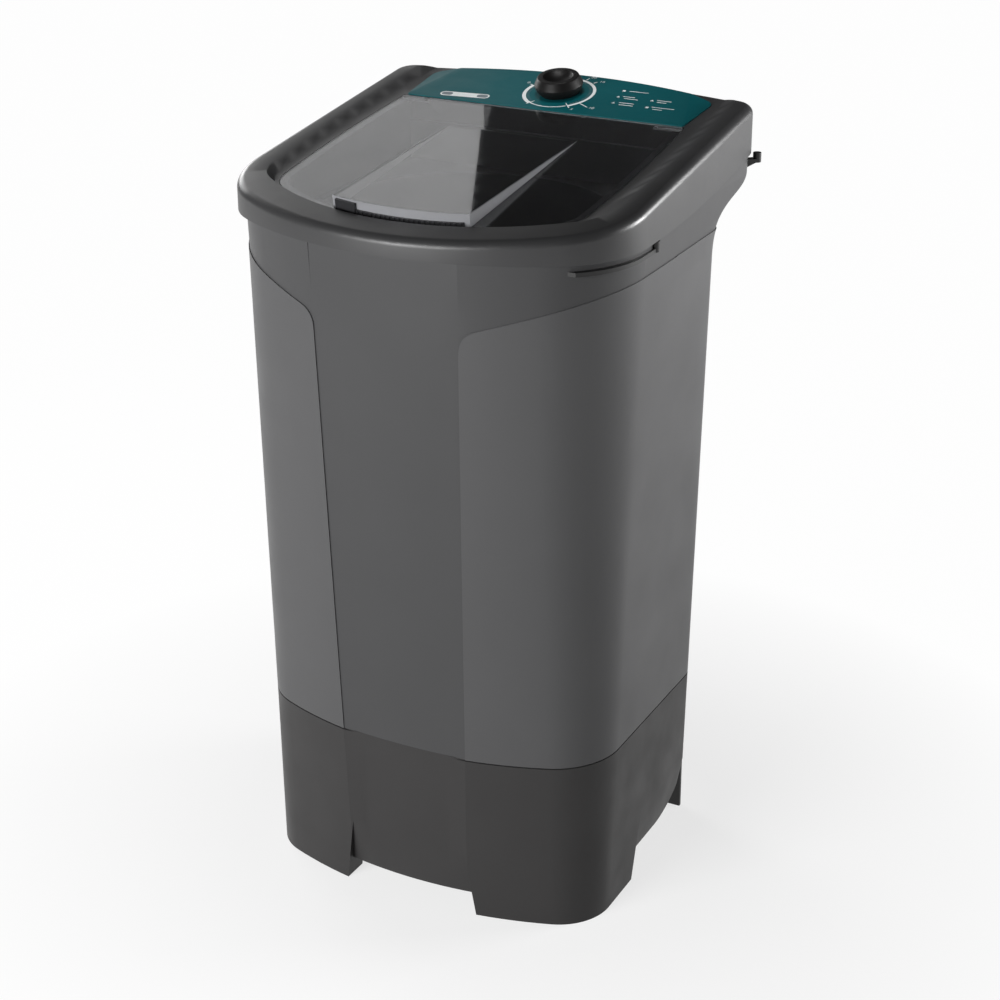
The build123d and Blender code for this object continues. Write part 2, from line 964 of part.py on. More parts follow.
def filter_holder():
    """Pocket on the drum's wall, open on top, with a window in front of the filter."""
    half = filter_width / 2 + filter_gap
    front = filter_back() - filter_thickness - filter_gap
    high = filter_low + holder_height
    in_wall = drum(tub_radius + overrun, tub_floor_radius + overrun, tub_low, flange_height, wall)
    pocket = upright_box(half, front, filter_back() + filter_gap, filter_low, high + overrun)
    window_low = filter_low + holder_lip
    window = upright_box(half - holder_lip, front - 2 * holder_wall, front, window_low, high + overrun)
    with BuildPart() as form:
        add(upright_box(half + holder_wall, front - holder_wall, back_wall_y, filter_low - holder_wall, high))
        add(in_wall, mode=Mode.INTERSECT)
        add(pocket, mode=Mode.SUBTRACT)
        add(window, mode=Mode.SUBTRACT)
    return form.part


def post(low, high, radius, bore=0.0, place=(0, tub_y)):
    """Upright cylinder between two heights, bored if it has a bore radius."""
    with BuildPart() as form:
        with BuildSketch(Plane.XY.offset(low)):
            with Locations(place):
                Circle(radius)
                if bore:
                    Circle(bore, mode=Mode.SUBTRACT)
        extrude(amount=high - low)
    return form.part


def radial_plane(angle, z):
    """Upright plane through the tub's axis at an angle, in degrees, with its origin on the axis."""
    turn = radians(angle)
    outwards = (cos(turn), sin(turn), 0)
    return Plane(origin=(0, tub_y, z), x_dir=outwards, z_dir=(sin(turn), -cos(turn), 0))


def pulley_rim(pitch_radius, place):
    """Pulley body: a drum under the belt between two flanges."""
    drum_radius = pitch_radius - belt_depth / 2 - belt_gap
    flange_radius = pitch_radius + belt_depth / 2 + pulley_flange_rise
    with BuildPart() as form:
        add(post(pulley_low, pulley_high, drum_radius, place=place))
        add(post(pulley_low, pulley_low + pulley_flange, flange_radius, place=place))
        add(post(pulley_high - pulley_flange, pulley_high, flange_radius, place=place))
    return form.part


def wedge_form(inset, closed):
    """The wedge on the lid, drawn in by the inset; the closed one ends at the lid's underside."""
    back_height = deck_height + wedge_back_y * tan(radians(deck_tilt))
    with BuildPart() as form:
        with BuildSketch(Plane.YZ):
            with BuildLine():
                Polyline(
                    (rim_front, rim_low),
                    (rim_front, wedge_front_height - inset),
                    (wedge_front_y, wedge_front_height - inset),
                    (wedge_back_y, back_height - inset),
                    (wedge_back_y, rim_low),
                    close=True,
                )
            make_face()
        extrude(amount=wedge_half_width - inset, both=True)
        setback = wedge_setback + inset
        extrude(lid_plan(deck_level(0.0), -setback), amount=cut_depth, both=True, mode=Mode.INTERSECT)
        if closed:
            split(bisect_by=deck_level(lid_top - lid_wall), keep=Keep.TOP)
    return form.part


def facet_plane(side):
    """Plane of a panel facet: through its crease on the panel's top and its low outer edge."""
    rise = tan(radians(panel_tilt))
    crease_front = Vector(side * panel_half_width, panel_front_y, panel_front_height)
    crease_height = panel_front_height + (facet_back_y - panel_front_y) * rise
    crease_back = Vector(side * facet_back_x, facet_back_y, crease_height)
    edge_height = deck_height + facet_back_y * tan(radians(deck_tilt)) + facet_edge_rise
    outer = Vector(side * panel_back_half_width, facet_back_y, edge_height)
    normal = (outer - crease_back).cross(crease_front - crease_back)
    if normal.Z < 0:
        normal = -normal
    return Plane(origin=crease_front, x_dir=crease_back - crease_front, z_dir=normal)


def finish(builder, name):
    builder.part.label = name
    export_step(builder.part, os.path.join("parts", name + ".step"))


os.makedirs("parts", exist_ok=True)

# Cabinet: raised side panels on a slightly lower surface, a channel in front, the overhang behind
with BuildPart() as cabinet:
    add(body_form(cabinet_low, relief, relief_top))
    add(raised_panels(cabinet_low))
    add(above_seam(-rim_seam_gap / 2), mode=Mode.SUBTRACT)
    add(cabinet_space(), mode=Mode.SUBTRACT)
    support_low = flange_height - flange_plate - support_height
    add(ring(support_low, support_low + support_height, inner_inset - overrun, inner_inset + support_width))
    add(channel(relief, 0.0), mode=Mode.SUBTRACT)
    drum_space = drum(tub_top_outer + contact_gap, tub_floor_outer, tub_low, rim_seam_height, wall)
    add(drum_space, mode=Mode.SUBTRACT)
finish(cabinet, "cabinet")

# Skirt: two box-shaped front feet, drawn-in walls between and behind them, open for the back cover
with BuildPart() as base_skirt:
    add(straight_prism(0, skirt_top, 0.0))
    add(recess(0.0, 0.0), mode=Mode.SUBTRACT)
    add(skirt_space(), mode=Mode.SUBTRACT)
    add(foot_form(overrun, foot_depth, 0.0, 0.0))
    add(foot_form(wall, foot_depth - wall, wall, wall), mode=Mode.SUBTRACT)
    add(below_edge(), mode=Mode.SUBTRACT)
    add(ring(skirt_top - skirt_lip_rise, cabinet_low, wall - overrun, skirt_lip_inset))
    add(channel(0.0, 0.0), mode=Mode.SUBTRACT)
    add(skirt_lip())
    with BuildSketch(Plane.XZ.offset(-back_wall_y - overrun)):
        with BuildLine():
            Polyline(
                (-skirt_rear_half_opening, 0),
                (skirt_rear_half_opening, 0),
                (skirt_rear_half_opening, skirt_rear_opening_top),
                (-skirt_rear_half_opening, skirt_rear_opening_top),
                close=True,
            )
        make_face()
    extrude(amount=back_corner_radius, mode=Mode.SUBTRACT)
    for height in cover_screw_heights:
        with BuildSketch(Plane.XZ.offset(-back_wall_y)):
            with Locations((-cover_screw_x, height), (cover_screw_x, height)):
                Circle(bolt_radius)
        extrude(amount=wall, mode=Mode.SUBTRACT)
finish(base_skirt, "base_skirt")

# Rear cover: a shallow tray on the skirt's back, whose two lower corners stand on the floor
with BuildPart() as rear_cover:
    seat_y = back_wall_y + contact_gap
    with BuildSketch(Plane.XZ.offset(-cover_plate_y - cover_plate)) as cover_face:
        with BuildLine():
            arch_x = cover_half_width - cover_foot_width
            Polyline(
                (-cover_half_width, 0),
                (-arch_x, 0),
                (-arch_x, cover_arch_height),
                (arch_x, cover_arch_height),
                (arch_x, 0),
                (cover_half_width, 0),
                (cover_half_width, cover_top),
                (-cover_half_width, cover_top),
                close=True,
            )
        make_face()
        fillet(cover_face.vertices().group_by(Axis.Y)[-1], radius=cover_corner_radius)
        fillet(cover_face.vertices().group_by(Axis.Y)[1], radius=cover_corner_radius)
    extrude(amount=cover_plate)
    with BuildSketch(Plane.XZ.offset(-cover_plate_y)) as cover_rim:
        with BuildLine():
            Polyline(
                (-cover_half_width, cover_side_low),
                (cover_half_width, cover_side_low),
                (cover_half_width, cover_top),
                (-cover_half_width, cover_top),
                close=True,
            )
        make_face()
        fillet(cover_rim.vertices().group_by(Axis.Y)[-1], radius=cover_corner_radius)
        offset(amount=-cover_plate, mode=Mode.SUBTRACT)
    extrude(amount=cover_plate_y - seat_y)
    for height in cover_screw_heights:
        for x in (-cover_screw_x, cover_screw_x):
            with BuildSketch(Plane.XZ.offset(-cover_plate_y)):
                with Locations((x, height)):
                    Circle(cover_boss_radius)
            extrude(amount=cover_plate_y - seat_y)
            with BuildSketch(Plane.XZ.offset(-cover_plate_y - cover_plate)):
                with Locations((x, height)):
                    Circle(bolt_radius + contact_gap)
            extrude(amount=cover_plate_y + cover_plate, mode=Mode.SUBTRACT)
    for count in range(cover_slot_count):
        with BuildSketch(Plane.XZ.offset(-cover_plate_y - cover_plate)):
            with Locations((cover_slot_x, cover_slot_low + count * cover_slot_pitch)):
                SlotOverall(cover_slot_width, cover_slot_height)
        extrude(amount=cover_plate, mode=Mode.SUBTRACT)
    for x, height, radius in (
        (drain_x, drain_outlet_height, drain_pipe_radius + contact_gap),
        (gland_x, gland_z, gland_radius + contact_gap),
    ):
        with BuildSketch(Plane.XZ.offset(-cover_plate_y - cover_plate)):
            with Locations((x, height)):
                Circle(radius)
        extrude(amount=cover_plate, mode=Mode.SUBTRACT)
finish(rear_cover, "rear_cover")

# Top rim: a hollow ring with a rounded outer edge, the dish round the lid and the seat of the panel
hinge_z = deck_height + hinge_y * tan(radians(deck_tilt)) - hinge_drop
lid_top = contact_gap - lid_drop
with BuildPart() as top_rim:
    add(rim_form(0.0, ridge_rise))
    fillet(top_rim.faces().sort_by(Axis.Z)[-1].edges(), radius=rim_edge_radius)
    add(dish_form(), mode=Mode.SUBTRACT)
    extrude(panel_plan(panel_gap), amount=ridge_rise + overrun, mode=Mode.SUBTRACT)
    add(rim_space(), mode=Mode.SUBTRACT)
    add(above_seam(rim_seam_gap / 2), mode=Mode.INTERSECT)
    add(rim_shelf())
    add(opening_wall())
    extrude(opening_plan(rim_low, 0.0), amount=rim_high - rim_low, mode=Mode.SUBTRACT)
    add(riser_ledge())
    extrude(lid_plan(deck_level(overrun), lid_gap), amount=-overrun - lid_wall - lid_drop, mode=Mode.SUBTRACT)
    swing_half = lid_back_half_width + lid_gap
    with BuildSketch(across(-swing_half, hinge_y, hinge_z, 1)):
        Circle(hinge_swing_radius)
    extrude(amount=2 * swing_half, mode=Mode.SUBTRACT)
    for side in (-1, 1):
        with BuildSketch(across(side * hinge_pin_start, hinge_y, hinge_z, side)):
            Circle(hinge_pin_radius)
        extrude(amount=hinge_pin_end - hinge_pin_start, mode=Mode.SUBTRACT)
    with BuildSketch(panel_level(0.0)):
        Circle(shaft_hole_radius)
    extrude(amount=-timer_depth, mode=Mode.SUBTRACT)
    for x, y in boss_places:
        for side in (-1, 1):
            add(rim_boss(side * x, y))
    for x in (-timer_screw_x, timer_screw_x):
        with BuildSketch(deck_level(-rim_plate)):
            with Locations((x, along_deck(knob_y))):
                Circle(timer_screw_radius)
        extrude(amount=timer_screw_length, mode=Mode.SUBTRACT)
finish(top_rim, "top_rim")

# Clear lid: a thin plate with a hollow wedge raised on its middle and two hinge barrels below its back
with BuildPart() as lid:
    extrude(lid_plan(deck_level(lid_top)), amount=-lid_wall)
    add(wedge_form(0.0, True))
    add(wedge_form(lid_wall, False), mode=Mode.SUBTRACT)
    for side in (-1, 1):
        with BuildSketch(across(side * hinge_barrel_start, hinge_y, hinge_z, side)):
            Circle(hinge_barrel_radius)
        extrude(amount=hinge_barrel_end - hinge_barrel_start)
        with BuildSketch(across(side * (hinge_pin_start - overrun), hinge_y, hinge_z, side)):
            Circle(hinge_pin_radius + hinge_pin_fit)
        extrude(amount=hinge_pin_end - hinge_pin_start, mode=Mode.SUBTRACT)
finish(lid, "lid")

# Ribbed grip strip on the front face of the lid's wedge, with a smooth end pad
with BuildPart() as lid_grip:
    with BuildSketch(deck_level(grip_low)):
        add(lid_plan(Plane.XY, grip_depth - wedge_setback))
        add(lid_plan(Plane.XY, -wedge_setback), mode=Mode.SUBTRACT)
        with Locations((0, along_deck(wedge_front_y))):
            Rectangle(2 * grip_half_width, grip_reach, mode=Mode.INTERSECT)
    extrude(amount=grip_height)
    with BuildSketch(deck_level(grip_low)):
        add(lid_plan(Plane.XY, grip_depth + grip_rib_depth - wedge_setback))
        add(lid_plan(Plane.XY, -wedge_setback), mode=Mode.SUBTRACT)
        rib_pitch = (2 * grip_half_width - grip_pad) / grip_ribs
        first_rib = grip_pad - grip_half_width + rib_pitch / 2
        places = [(first_rib + count * rib_pitch, along_deck(wedge_front_y)) for count in range(grip_ribs)]
        with BuildSketch(mode=Mode.PRIVATE) as bars:
            with Locations(*places):
                Rectangle(grip_rib_width, grip_reach)
        add(bars.sketch, mode=Mode.INTERSECT)
    extrude(amount=grip_height)
    with BuildSketch(deck_level(grip_low)):
        add(lid_plan(Plane.XY, grip_depth + grip_rib_depth - wedge_setback))
        add(lid_plan(Plane.XY, -wedge_setback), mode=Mode.SUBTRACT)
        with Locations((grip_pad / 2 - grip_half_width, along_deck(wedge_front_y))):
            Rectangle(grip_pad, grip_reach, mode=Mode.INTERSECT)
    extrude(amount=grip_pad_height)
finish(lid_grip, "lid_grip")

# Hinge pins, fixed in the rim beside the lid and running in the lid's barrels
for side, name in ((-1, "hinge_pin_left"), (1, "hinge_pin_right")):
    with BuildPart() as hinge_pin:
        with BuildSketch(across(side * hinge_pin_start, hinge_y, hinge_z, side)):
            Circle(hinge_pin_radius)
        extrude(amount=hinge_pin_end - hinge_pin_start)
    finish(hinge_pin, name)

# Control panel: a shallow wedge on the rim's seat with a sloping facet at each side
with BuildPart() as control_panel:
    extrude(panel_plan(0.0), amount=cut_depth)
    split(bisect_by=panel_level(0.0), keep=Keep.BOTTOM)
    for side in (-1, 1):
        split(bisect_by=facet_plane(side), keep=Keep.BOTTOM)
    with BuildSketch(panel_level(overrun)):
        Circle(shaft_hole_radius)
    extrude(amount=-timer_depth, mode=Mode.SUBTRACT)
finish(control_panel, "control_panel")

# Timer knob: waisted below, widest at mid height, with a deep dish on top
with BuildPart() as timer_knob:
    grip_edge = (knob_grip_radius, knob_grip_height)
    top_edge = (knob_top_radius, knob_height)
    with BuildSketch(upright(panel_level(0.0))) as knob_profile:
        with BuildLine():
            Polyline((0, knob_height - knob_dish_depth), (0, knob_gap), (knob_base_radius, knob_gap))
            ThreePointArc(
                (knob_base_radius, knob_gap),
                (between(knob_base_radius, knob_grip_radius, knob_curve_share), knob_grip_height / 2),
                grip_edge,
            )
            Polyline(grip_edge, top_edge, (knob_dish_radius, knob_height))
            TangentArc((0, knob_height - knob_dish_depth), (knob_dish_radius, knob_height), tangent=(1, 0))
        make_face()
        fillet(knob_profile.vertices().sort_by_distance(grip_edge)[0], radius=knob_edge_radius)
        fillet(knob_profile.vertices().sort_by_distance(top_edge)[0], radius=knob_edge_radius)
    revolve(axis=panel_axis())
    with BuildSketch(panel_level(0.0)):
        Circle(shaft_radius)
    extrude(amount=knob_gap + shaft_socket - knob_edge_radius, mode=Mode.SUBTRACT)
finish(timer_knob, "timer_knob")

with BuildPart() as timer_shaft:
    with BuildSketch(panel_level(-shaft_drop)):
        Circle(shaft_radius)
    extrude(amount=shaft_drop + knob_gap + shaft_socket - knob_edge_radius)
finish(timer_shaft, "timer_shaft")

# Timer under the rim's plate, with an ear and a screw at each side
timer_plane = deck_level(-rim_plate)
with BuildPart() as timer_case:
    with BuildSketch(timer_plane):
        with Locations((0, along_deck(knob_y))):
            RectangleRounded(timer_width, timer_length, timer_edge_radius)
    extrude(amount=-timer_depth)
    with BuildSketch(timer_plane):
        with Locations((0, along_deck(knob_y))):
            SlotOverall(2 * (timer_screw_x + timer_ear), 2 * timer_ear)
    extrude(amount=-wall)
    with BuildSketch(timer_plane):
        with Locations((-timer_screw_x, along_deck(knob_y)), (timer_screw_x, along_deck(knob_y))):
            Circle(timer_screw_radius)
    extrude(amount=-wall, mode=Mode.SUBTRACT)
    with BuildSketch(panel_level(0.0)):
        Circle(shaft_radius + shaft_fit)
    extrude(amount=-shaft_drop - contact_gap, mode=Mode.SUBTRACT)
finish(timer_case, "timer_case")

with BuildPart() as timer_screws:
    for x in (-timer_screw_x, timer_screw_x):
        with BuildSketch(timer_plane.offset(-wall)):
            with Locations((x, along_deck(knob_y))):
                Circle(timer_screw_radius)
        extrude(amount=wall + timer_screw_length)
        with BuildSketch(timer_plane.offset(-wall)):
            with Locations((x, along_deck(knob_y))):
                Circle(2 * timer_screw_radius)
        extrude(amount=-timer_screw_head)
finish(timer_screws, "timer_screws")

# Front hook: a thin ledge round the front corner, under the rim, with an upturned end
with BuildPart() as side_hook_front:
    extrude(rim_plan(front_hook_low, rim_half_width - front_hook_half_width), amount=hook_thickness)
    with BuildSketch(Plane.XY.offset(front_hook_low)):
        with BuildLine():
            Polyline(
                (rim_half_width, front_hook_end_y),
                (front_hook_inner_x, front_hook_end_y),
                (front_hook_inner_x, front_hook_start_y),
                (rim_half_width, front_hook_start_y),
                close=True,
            )
        make_face()
    extrude(amount=hook_thickness, mode=Mode.INTERSECT)
    with BuildSketch(Plane.XY.offset(front_hook_low)):
        with Locations((front_hook_half_width - front_hook_tip_radius, front_hook_end_y)):
            Circle(front_hook_tip_radius)
    extrude(amount=hook_thickness + front_hook_tip_height)
    add(straight_prism(body_seam_height, rim_seam_height, hook_seat_inset), mode=Mode.SUBTRACT)
finish(side_hook_front, "side_hook_front")

# Rear hook: a short arm on a gusset at the back corner, with an upturned end
with BuildPart() as side_hook_rear:
    tip = (rear_hook_reach - rear_hook_tip_radius, rear_hook_y)
    root = (rear_hook_root_x, rear_hook_root_y)
    with BuildSketch(Plane.XY.offset(rear_hook_low)):
        with Locations(tip, root):
            Circle(rear_hook_tip_radius)
        make_hull()
    extrude(amount=hook_thickness)
    run_x = tip[0] - root[0]
    run_y = tip[1] - root[1]
    along_arm = Plane(origin=(*root, rear_hook_low), x_dir=(run_x, run_y, 0), z_dir=(run_y, -run_x, 0))
    with BuildSketch(along_arm):
        with BuildLine():
            Polyline((0, 0), (hypot(run_x, run_y), 0), (0, -rear_hook_gusset), close=True)
        make_face()
    extrude(amount=rear_hook_web / 2, both=True)
    with BuildSketch(Plane.XY.offset(rear_hook_low)):
        with Locations(tip):
            Circle(rear_hook_tip_radius)
    extrude(amount=hook_thickness + rear_hook_tip_height)
    add(body_form(flare_low - overrun, hook_flare_inset, hook_flare_inset), mode=Mode.SUBTRACT)
finish(side_hook_rear, "side_hook_rear")

# Wash tub: a tapering drum that hangs from a flange, with all that is moulded on it
drain_mouth = (drain_x, drain_y)
with BuildPart() as wash_tub:
    extrude(flange_plan(flange_height - flange_plate), amount=flange_plate)
    add(channel(relief, wall + lip_gap), mode=Mode.SUBTRACT)
    add(drum(tub_top_outer, tub_floor_outer, tub_low, flange_height, tub_corner_radius + tub_wall))
    for side in (-1, 1):
        for place in post_places:
            foot = (side * place[0], place[1])
            add(post(bracket_top, tub_floor_height + tub_corner_radius / 2, post_radius, place=foot))
            add(post(bracket_top, bracket_top + bolt_length, bolt_radius, place=foot), mode=Mode.SUBTRACT)
    add(
        drum(tub_radius, tub_floor_radius, tub_floor_height, flange_height + overrun, tub_corner_radius),
        mode=Mode.SUBTRACT,
    )
    add(filter_holder())
    with BuildSketch(Plane.XY.offset(tub_low - drain_socket_depth)):
        with Locations(drain_mouth):
            Circle(drain_pipe_radius + drain_socket_wall)
    extrude(amount=drain_socket_depth)
    with BuildSketch(Plane.XY.offset(tub_low - drain_socket_depth)):
        with Locations(drain_mouth):
            Circle(drain_pipe_radius)
    extrude(amount=drain_socket_depth + tub_floor, mode=Mode.SUBTRACT)
    with BuildSketch(Plane.XY.offset(tub_floor_height - grille_thickness / 2)):
        with Locations(drain_mouth):
            Circle(grille_radius)
    extrude(amount=grille_thickness, mode=Mode.SUBTRACT)
    with BuildSketch(Plane.XY.offset(tub_low - overrun)):
        with Locations((0, tub_y)):
            Circle(seal_radius)
    extrude(amount=tub_floor + 2 * overrun, mode=Mode.SUBTRACT)
    with BuildSketch(Plane.XY.offset(tub_low)):
        with Locations((0, tub_y)):
            with PolarLocations(housing_bolt_circle, housing_bolts, start_angle=housing_bolt_start):
                Circle(bolt_radius)
    extrude(amount=tub_floor - overrun, mode=Mode.SUBTRACT)
    for x, y in boss_places:
        with BuildSketch(Plane.XY.offset(flange_height - flange_plate)):
            with Locations((x, y), (-x, y)):
                Circle(tub_screw_radius)
        extrude(amount=flange_plate, mode=Mode.SUBTRACT)
finish(wash_tub, "wash_tub")

with BuildPart() as rim_screws:
    for side in (-1, 1):
        for x, y in boss_places:
            with BuildSketch(Plane.XY.offset(flange_height - flange_plate)):
                with Locations((side * x, y)):
                    Circle(tub_screw_radius)
            extrude(amount=tub_screw_length)
            with BuildSketch(Plane.XY.offset(flange_height - flange_plate)):
                with Locations((side * x, y)):
                    Circle(tub_screw_head_radius)
            extrude(amount=-tub_screw_head)
finish(rim_screws, "rim_screws")

# Lint filter: a framed grille that lifts out of its holder
with BuildPart() as lint_filter:
    with BuildSketch(Plane.XZ.offset(-filter_back())):
        window_width = filter_width - 2 * filter_frame
        with Locations((filter_x, filter_low + filter_height / 2)):
            RectangleRounded(filter_width, filter_height, filter_frame)
            Rectangle(window_width, filter_height - 2 * filter_frame, mode=Mode.SUBTRACT)
            with GridLocations(window_width / (filter_bars + 1), filter_height, filter_bars, 1):
                Rectangle(filter_bar, filter_height - filter_frame)
    extrude(amount=filter_thickness)
finish(lint_filter, "lint_filter")

# Drain grille in the tub's floor
with BuildPart() as drain_grille:
    with BuildSketch(Plane.XY.offset(tub_floor_height - grille_thickness / 2)):
        with Locations(drain_mouth):
            Circle(grille_radius)
            for circle, count in grille_rings:
                with PolarLocations(circle, count):
                    Circle(grille_hole_radius, mode=Mode.SUBTRACT)
    extrude(amount=grille_thickness)
finish(drain_grille, "drain_grille")

# Drain pipe from the tub's socket down and back through the rear cover
with BuildPart() as drain_pipe:
    outlet_y = cover_plate_y + cover_plate + drain_spigot
    with BuildLine() as drain_route:
        FilletPolyline(
            (drain_x, drain_y, tub_low),
            (drain_x, drain_y, drain_outlet_height),
            (drain_x, outlet_y, drain_outlet_height),
            radius=drain_bend_radius,
        )
    with BuildSketch(Plane.XY.offset(tub_low)):
        with Locations(drain_mouth):
            Circle(drain_pipe_radius)
            Circle(drain_pipe_radius - drain_pipe_wall, mode=Mode.SUBTRACT)
    sweep(path=drain_route.wire())
    with BuildSketch(Plane.XZ.offset(-cover_plate_y)):
        with Locations((drain_x, drain_outlet_height)):
            Circle(drain_collar_radius)
            Circle(drain_pipe_radius, mode=Mode.SUBTRACT)
    extrude(amount=drain_collar)
    with BuildSketch(Plane.XZ.offset(-outlet_y)):
        with Locations((drain_x, drain_outlet_height)):
            Circle(drain_pipe_radius + overrun)
            Circle(spigot_radius, mode=Mode.SUBTRACT)
    extrude(amount=drain_spigot, mode=Mode.SUBTRACT)
finish(drain_pipe, "drain_pipe")

# Agitator: a low dome with a hub and thin curved vanes
dome_low = tub_floor_height + agitator_gap
hub_top = dome_low + agitator_hub_rise
with BuildPart() as agitator:
    with BuildSketch(Plane.XZ.offset(-tub_y)):
        with BuildLine():
            Polyline((0, hub_top), (0, dome_low), (agitator_radius, dome_low))
            Line((agitator_radius, dome_low), (agitator_radius, dome_low + agitator_edge))
            shoulder = (agitator_shoulder_radius, dome_low + agitator_shoulder_rise)
            ThreePointArc(
                (agitator_radius, dome_low + agitator_edge),
                (
                    between(agitator_radius, shoulder[0], dome_share),
                    between(dome_low + agitator_edge, shoulder[1], dome_rise_share),
                ),
                shoulder,
            )
            Polyline(shoulder, (agitator_hub_radius, hub_top), (0, hub_top))
        make_face()
    revolve(axis=Axis((0, tub_y, 0), (0, 0, 1)))
    fillet(agitator.faces().filter_by(Plane.XY).sort_by(Axis.Z)[-1].edges(), radius=agitator_hub_round)
    for count in range(agitator_vanes):
        with BuildSketch(radial_plane(360 / agitator_vanes * count, dome_low)):
            with BuildLine():
                Polyline(
                    (vane_outer_radius, vane_outer_rise),
                    (vane_outer_radius, agitator_edge / 2),
                    (drive_shaft_radius + wall, agitator_edge / 2),
                    (drive_shaft_radius + wall, vane_inner_rise),
                    (agitator_hub_radius, vane_inner_rise),
                )
                ThreePointArc(
                    (agitator_hub_radius, vane_inner_rise),
                    (vane_middle_radius, vane_middle_rise),
                    (vane_outer_radius, vane_outer_rise),
                )
            make_face()
        extrude(amount=vane_thickness / 2, both=True)
    with BuildSketch(Plane.XY.offset(dome_low)):
        with Locations((0, tub_y)):
            Circle(drive_shaft_radius)
    extrude(amount=agitator_hub_rise - agitator_cap, mode=Mode.SUBTRACT)
    with BuildSketch(Plane.XY.offset(dome_low)):
        with Locations((0, tub_y)):
            Circle(bolt_radius)
    extrude(amount=agitator_hub_rise, mode=Mode.SUBTRACT)
finish(agitator, "agitator")

# Screw and shaft of the agitator
shaft_top = hub_top - agitator_cap
shaft_low = pulley_low - nut_height - shaft_tail / 2
with BuildPart() as agitator_screw:
    add(post(hub_top, hub_top + bolt_head, 2 * bolt_radius))
    add(post(shaft_top - bolt_length, hub_top, bolt_radius))
finish(agitator_screw, "agitator_screw")

with BuildPart() as drive_shaft:
    add(post(shaft_low, shaft_top, drive_shaft_radius))
    add(post(shaft_top - bolt_length, shaft_top, bolt_radius), mode=Mode.SUBTRACT)
    chamfer(drive_shaft.faces().sort_by(Axis.Z)[0].edges(), length=shaft_chamfer)
finish(drive_shaft, "drive_shaft")

# Bearing housing under the tub's floor: a bolted flange, a hub and webs between them
with BuildPart() as bearing_housing:
    add(post(tub_low - housing_flange, tub_low, housing_flange_radius))
    add(post(housing_low, tub_low, housing_radius))
    web_height = tub_low - housing_flange - housing_low
    for count in range(housing_webs):
        with BuildSketch(radial_plane(360 / housing_webs * count, housing_low)):
            with BuildLine():
                Polyline(
                    (housing_radius - overrun, wall),
                    (housing_radius - overrun, web_height + overrun),
                    (housing_flange_radius - wall, web_height + overrun),
                    close=True,
                )
            make_face()
        extrude(amount=housing_web / 2, both=True)
    add(post(housing_low - overrun, tub_low + overrun, drive_shaft_radius + wall), mode=Mode.SUBTRACT)
    add(post(housing_low - overrun, housing_low + bearing_width, bearing_radius), mode=Mode.SUBTRACT)
    add(post(tub_low - housing_flange - bearing_width, tub_low + overrun, bearing_radius), mode=Mode.SUBTRACT)
    with BuildSketch(Plane.XY.offset(tub_low - housing_flange)):
        with Locations((0, tub_y)):
            with PolarLocations(housing_bolt_circle, housing_bolts, start_angle=housing_bolt_start):
                Circle(bolt_radius)
    extrude(amount=housing_flange, mode=Mode.SUBTRACT)
finish(bearing_housing, "bearing_housing")

bearing_bore = drive_shaft_radius + drive_shaft_fit
upper_bearing_low = tub_low - housing_flange - bearing_width
for name, low in (("lower_bearing", housing_low), ("upper_bearing", upper_bearing_low)):
    with BuildPart() as bearing:
        add(post(low, low + bearing_width, bearing_radius, bearing_bore))
        with BuildSketch(Plane.XY.offset(low)):
            with Locations((0, tub_y)):
                Circle(bearing_radius - wall)
                Circle(bearing_radius - wall - bearing_groove, mode=Mode.SUBTRACT)
        extrude(amount=bearing_groove / 2, mode=Mode.SUBTRACT)
    finish(bearing, name)

with BuildPart() as shaft_seal:
    add(post(tub_low - housing_flange, tub_floor_height, seal_radius, bearing_bore))
    add(post(tub_low - housing_flange, tub_low, bearing_radius, seal_radius - overrun))
finish(shaft_seal, "shaft_seal")

with BuildPart() as housing_screws:
    with BuildSketch(Plane.XY.offset(tub_low - housing_flange)):
        with Locations((0, tub_y)):
            with PolarLocations(housing_bolt_circle, housing_bolts, start_angle=housing_bolt_start):
                Circle(bolt_radius)
    extrude(amount=housing_flange + tub_floor - overrun)
    with BuildSketch(Plane.XY.offset(tub_low - housing_flange)):
        with Locations((0, tub_y)):
            with PolarLocations(housing_bolt_circle, housing_bolts, start_angle=housing_bolt_start):
                RegularPolygon(bolt_head_radius, 6)
    extrude(amount=-bolt_head)
finish(housing_screws, "housing_screws")

# Driven pulley: a rim, a hub and a windowed web
with BuildPart() as driven_pulley:
    drum_inner = pulley_pitch_radius - belt_depth / 2 - belt_gap - wall
    add(pulley_rim(pulley_pitch_radius, (0, tub_y)))
    add(post(pulley_low - overrun, pulley_high + overrun, drum_inner), mode=Mode.SUBTRACT)
    add(post(belt_middle_height - pulley_web / 2, belt_middle_height + pulley_web / 2, drum_inner + overrun))
    add(post(pulley_low, pulley_high, pulley_hub_radius))
    with BuildSketch(Plane.XY.offset(pulley_low)):
        with Locations((0, tub_y)):
            with PolarLocations(pulley_window_circle, pulley_spokes):
                Circle(pulley_window_radius)
    extrude(amount=pulley_high - pulley_low, mode=Mode.SUBTRACT)
    add(post(pulley_low - overrun, pulley_high + overrun, drive_shaft_radius), mode=Mode.SUBTRACT)
finish(driven_pulley, "driven_pulley")

with BuildPart() as pulley_nut:
    with BuildSketch(Plane.XY.offset(pulley_low - nut_height)):
        with Locations((0, tub_y)):
            RegularPolygon(nut_radius, 6)
            Circle(drive_shaft_radius, mode=Mode.SUBTRACT)
    extrude(amount=nut_height)
finish(pulley_nut, "pulley_nut")

